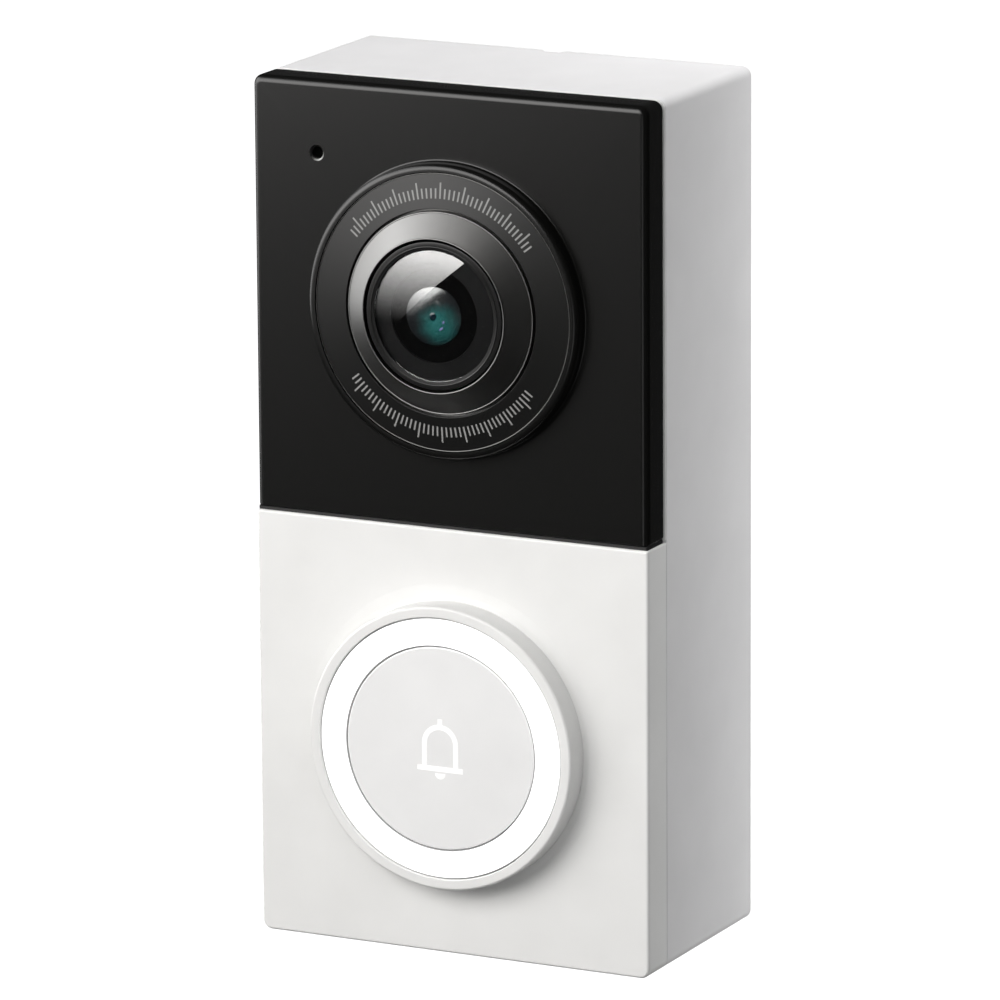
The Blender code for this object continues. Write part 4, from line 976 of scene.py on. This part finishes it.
def stroke_mesh(bm, path, width, back_y, front_y, centre):
    """A flat stroke of even width along a path of (u, v) points."""
    left, right = [], []
    for index, point in enumerate(path):
        before = Vector(path[max(index - 1, 0)])
        after = Vector(path[min(index + 1, len(path) - 1)])
        along_path = (after - before).normalized()
        across = Vector((-along_path.y, along_path.x)) * width / 2
        left.append(Vector(point) + across)
        right.append(Vector(point) - across)
    outline = left + right[::-1]
    loops = []
    for place in (back_y, front_y):
        loops.append([bm.verts.new((centre[0] + p.x, place, centre[1] + p.y)) for p in outline])
    bridge(bm, loops[0], loops[1])
    count = len(path)
    for loop in loops:
        for i in range(count - 1):
            bm.faces.new((loop[i], loop[i + 1], loop[-i - 2], loop[-i - 1]))


def make_icon():
    """A plain bell drawn with even strokes: dome, sides, lip, stem and clapper."""
    width, half, base_v, dome_v, lip_half = mm(0.8, 2.6, -2.85, 0.69, 3.8)
    front_y = CAP_LOW.y - 0.02 * MM
    back_y = CAP_LOW.y + 0.1 * MM
    lip_v = base_v - 0.3 * MM
    bell = [(-half, base_v), (-half, dome_v)] + arc((0, dome_v), half, 180, 0, 20)[1:-1]
    bell += [(half, dome_v), (half, base_v)]
    stem = [(0, dome_v + half + 0.3 * MM), (0, dome_v + half + 1.25 * MM)]
    strokes = (("icon_bell", bell, width, "bell_icon"),
               ("icon_lip", [(-lip_half, lip_v), (lip_half, lip_v)], width, ""),
               ("icon_stem", stem, width * 0.9, ""))
    # the bell's strokes and clapper take the icon's painted glow
    for name, path, stroke_width, replaced in strokes:
        bm = bmesh.new()
        stroke_mesh(bm, path, stroke_width, back_y, front_y, BUTTON)
        finish(name, bm, "icon_white", "button", replaced)
    clapper = arc((0, base_v - 1.0 * MM), 0.87 * MM, 180, 360, 14)
    outline = [(BUTTON[0] + u, BUTTON[1] + v) for u, v in clapper]
    finish("icon_clapper", prism_mesh(outline, back_y, front_y), "icon_white", "button")


def make_light_guide():
    """The milky light guide: a lit face on a plain body, with a narrow groove on both sides."""
    edge = 0.12 * MM
    outer = LIGHT_RADIUS
    inner = LIGHT_INNER_RADIUS
    step_y = LIGHT_LOW.y + 0.3 * MM
    flank = 0.12 * MM
    body = [(inner - flank, LIGHT_HIGH.y), (outer + flank, LIGHT_HIGH.y), (outer + flank, step_y),
            (inner - flank, step_y)]
    guide = finish("light_guide_body", turned_mesh(BUTTON, body, True), "guide_side", "housing",
                   "light_ring")
    weigh_normals(guide)
    face = [(inner + 0.02 * MM, step_y), (outer - 0.02 * MM, step_y)]
    face += arc((outer - edge, LIGHT_LOW.y + edge), edge, 0, -90, 3)
    face += arc((inner + edge, LIGHT_LOW.y + edge), edge, -90, -180, 3)
    lit = finish("light_guide_face", turned_mesh(BUTTON, face, True), "light_guide")
    weigh_normals(lit)


# ---------------- back and underside

def make_plate():
    """The wall plate: rounded edges, slots with lead-ins, a wire window and shallow pockets behind."""
    rect = (PLATE_LOW.x, PLATE_LOW.z, PLATE_HIGH.x, PLATE_HIGH.z)
    front_y = -2.6 * MM
    levels = fillet_levels(0, 0.25 * MM, 1, 3)[::-1] + fillet_levels(front_y, 0.5 * MM, -1, 4)
    plate = finish("plate", slab_mesh(rect, 3 * MM, levels), "plate_grey", "wall_plate",
                   replaces="wall_plate")
    past, lead = mm(1, 0.3)
    through = [(past, -lead - past), (0, -lead), (-lead, 0), (front_y + lead, 0), (front_y, -lead),
               (front_y - past, -lead - past)]
    holes = [(centred(*mm(5.2, 10, 0, 44)), 2.59 * MM), (centred(*mm(10, 5.2, 0, -44)), 2.59 * MM),
             (centred(*mm(24, 14), 0, TERMINAL_Z), 2 * MM), (mm(-5.5, 50.5, 5.5, 70), 0.5 * MM)]
    cutters = [slab_mesh(hole, radius, through) for hole, radius in holes]
    pocket = [(past, -past), (0, 0), mm(-0.7, 0.1)]
    for side in (-1, 1):
        for low, high in ((-56, -10), (-4, 14), (38, 57)):
            rect = (side * 20 * MM - 6 * MM, low * MM, side * 20 * MM + 6 * MM, high * MM)
            cutters.append(slab_mesh(rect, 1.5 * MM, pocket))
    carve(plate, *cutters)
    weigh_normals(plate)
    for side in (-1, 1):
        lug = slab_mesh(centred(*mm(8, 3), side * LUG_X, LUG_Z), 0.4 * MM,
                        [(front_y + 0.3 * MM, 0)] + fillet_levels(PLATE_LOW.y, 0.3 * MM, -1, 4))
        finish(f"plate_lug_{side + 2}", lug, "plate_grey", "wall_plate")


def make_latch():
    """A bent leaf with a hook that holds the housing's top lip."""
    outline = [(-0.9, 50.9), (-1.6, 50.9), (-1.6, 62.0), (-1.75, 62.2), (-2.85, 62.2), (-3.0, 62.4),
               (-3.0, 64.0), (-2.75, 64.4), (-2.5, 64.45), (-2.2, 64.0), (-2.2, 63.1), (-2.05, 63.0),
               (-1.1, 63.0), (-0.9, 62.8)]
    latch = finish("latch", prism_mesh(mm(*outline), -4 * MM, 4 * MM, "X"), "latch_steel", "wall_plate",
                   replaces="latch_spring")
    bevel = latch.modifiers.new("bevel", "BEVEL")
    bevel.width = 0.08 * MM
    bevel.segments = 2
    bevel.limit_method = "ANGLE"


def make_flap():
    """The rubber flap: soft edges, a finger lip and a plug for the socket."""
    rect = (FLAP_LOW.x, FLAP_LOW.y, FLAP_HIGH.x, FLAP_HIGH.y)
    levels = fillet_levels(FLAP_LOW.z, 0.25 * MM, -1, 4)[::-1] + fillet_levels(-65.15 * MM, 0.1 * MM, 1, 2)
    flap = finish("flap", slab_mesh(rect, 0.8 * MM, levels, "Z"), "rubber_white", "port_cover",
                  replaces="port_cover")
    bowl = [(FLAP_LOW.z + height, inset) for height, inset in mm((-0.5, -0.4), (0, -0.1), (0.3, 0.1))]
    scoop = slab_mesh(centred(*mm(7, 1.2), 0, FLAP_LOW.y + 1.3 * MM), 0.55 * MM, bowl, "Z")
    carve(flap, scoop)
    weigh_normals(flap)
    plug = slab_mesh(centred(*mm(7.2, 1.4), 0, PORT_Y), 0.6 * MM,
                     [(-65.2 * MM, 0)] + fillet_levels(FLAP_HIGH.z, 0.2 * MM, 1, 3), "Z")
    finish("flap_plug", plug, "rubber_white", "port_cover")


def make_socket():
    """The USB-C shell as a folded tube, with its tongue inside."""
    rect = (SOCKET_LOW.x, SOCKET_LOW.y, SOCKET_HIGH.x, SOCKET_HIGH.y)
    levels = [(SOCKET_LOW.z, 0.1 * MM), (SOCKET_LOW.z + 0.1 * MM, 0), (SOCKET_HIGH.z, 0)]
    shell = finish("socket_shell", slab_mesh(rect, 1.5 * MM, levels, "Z"), "nickel", replaces="usb_socket")
    mouth = slab_mesh(inset_rect(rect, 0.33 * MM), 1.2 * MM,
                      [(SOCKET_LOW.z - 1 * MM, -0.1 * MM), (SOCKET_LOW.z, -0.1 * MM),
                       (SOCKET_LOW.z + 0.15 * MM, 0), (-59 * MM, 0)], "Z")
    carve(shell, mouth)
    weigh_normals(shell)
    tongue = slab_mesh(centred(*mm(6.6, 0.6), 0, PORT_Y), 0.2 * MM,
                       [mm(-63.0, 0.1), (-62.9 * MM, 0), (-58.9 * MM, 0)], "Z")
    finish("socket_tongue", tongue, "plastic_black")


def make_screw(name, place, head, look, node, shank):
    """A pan head with a cross recess. head is (radius, top y, seat y); shank is (radius, tip y)."""
    radius, top_y, seat_y = head
    profile = [(0, top_y)] + arc((radius - 0.35 * MM, top_y - 0.35 * MM), 0.35 * MM, 90, 0, 4)
    profile += [(radius, seat_y), (shank[0], seat_y)]
    turns = int((seat_y - shank[1]) / (0.5 * MM))
    for turn in range(turns):
        y = seat_y - (turn + 0.3) * 0.5 * MM
        profile += [(shank[0], y), (shank[0] * 0.85, y - 0.25 * MM)]
    profile.append((0, shank[1]))
    screw = finish(name, turned_mesh(place, profile, count=32), look, "housing", node)
    reach = radius * 0.62
    arm = 0.28 * MM
    cutters = []
    for width, height in ((reach, arm), (arm, reach)):
        rect = (place[0] - width, place[1] - height, place[0] + width, place[1] + height)
        cutters.append(slab_mesh(rect, 0.05 * MM, [(top_y + 0.5 * MM, 0), (top_y - 0.45 * MM, 0.06 * MM)],
                                 segments=2))
    carve(screw, *cutters)
    return weigh_normals(screw)


def make_screws():
    for index in (1, 2, 3, 4):
        node = f"case_screw_{index}"
        make_screw(f"cross_screw_{index}", axis_of(node), mm(2.4, -3.0, -4.0), "screw_steel",
                   node, mm(1.25, -17))
    for side in ("left", "right"):
        node = f"terminal_screw_{side}"
        make_screw(f"brass_screw_{side}", axis_of(node), mm(2.6, -3.1, -4.1), "terminal_brass",
                   node, mm(1.3, -10))


def make_speaker_cloth():
    """A dark acoustic cloth behind the slots, slightly sagging between its glued edges."""
    bm = bmesh.new()
    half_x = 13.5 * MM
    half_y = 5.2 * MM
    columns, rows = 40, 16
    grid = []
    for row in range(rows + 1):
        line = []
        for column in range(columns + 1):
            u = 2 * column / columns - 1
            v = 2 * row / rows - 1
            sag = 0.12 * MM * (1 - u * u) * (1 - v * v)
            line.append(bm.verts.new((u * half_x, SPEAKER_Y + v * half_y, -63.55 * MM + sag)))
        grid.append(line)
    for row in range(rows):
        for column in range(columns):
            near, far = grid[row], grid[row + 1]
            bm.faces.new((near[column], near[column + 1], far[column + 1], far[column]))
    cloth = finish("speaker_cloth", bm, "speaker_cloth", "housing")
    solid = cloth.modifiers.new("thickness", "SOLIDIFY")
    solid.thickness = 0.1 * MM


def main():
    make_camera()
    make_lights()
    make_floor()
    make_materials()
    dress_frame_nodes()
    make_housing_shell()
    make_front_shell()
    make_carrier()
    make_cover_shell()
    make_split_gasket()
    make_mic_mesh()
    make_disc()
    make_lens_rings()
    make_optics()
    make_cap()
    make_icon()
    make_light_guide()
    make_plate()
    make_latch()
    make_flap()
    make_socket()
    make_screws()
    make_speaker_cloth()


main()
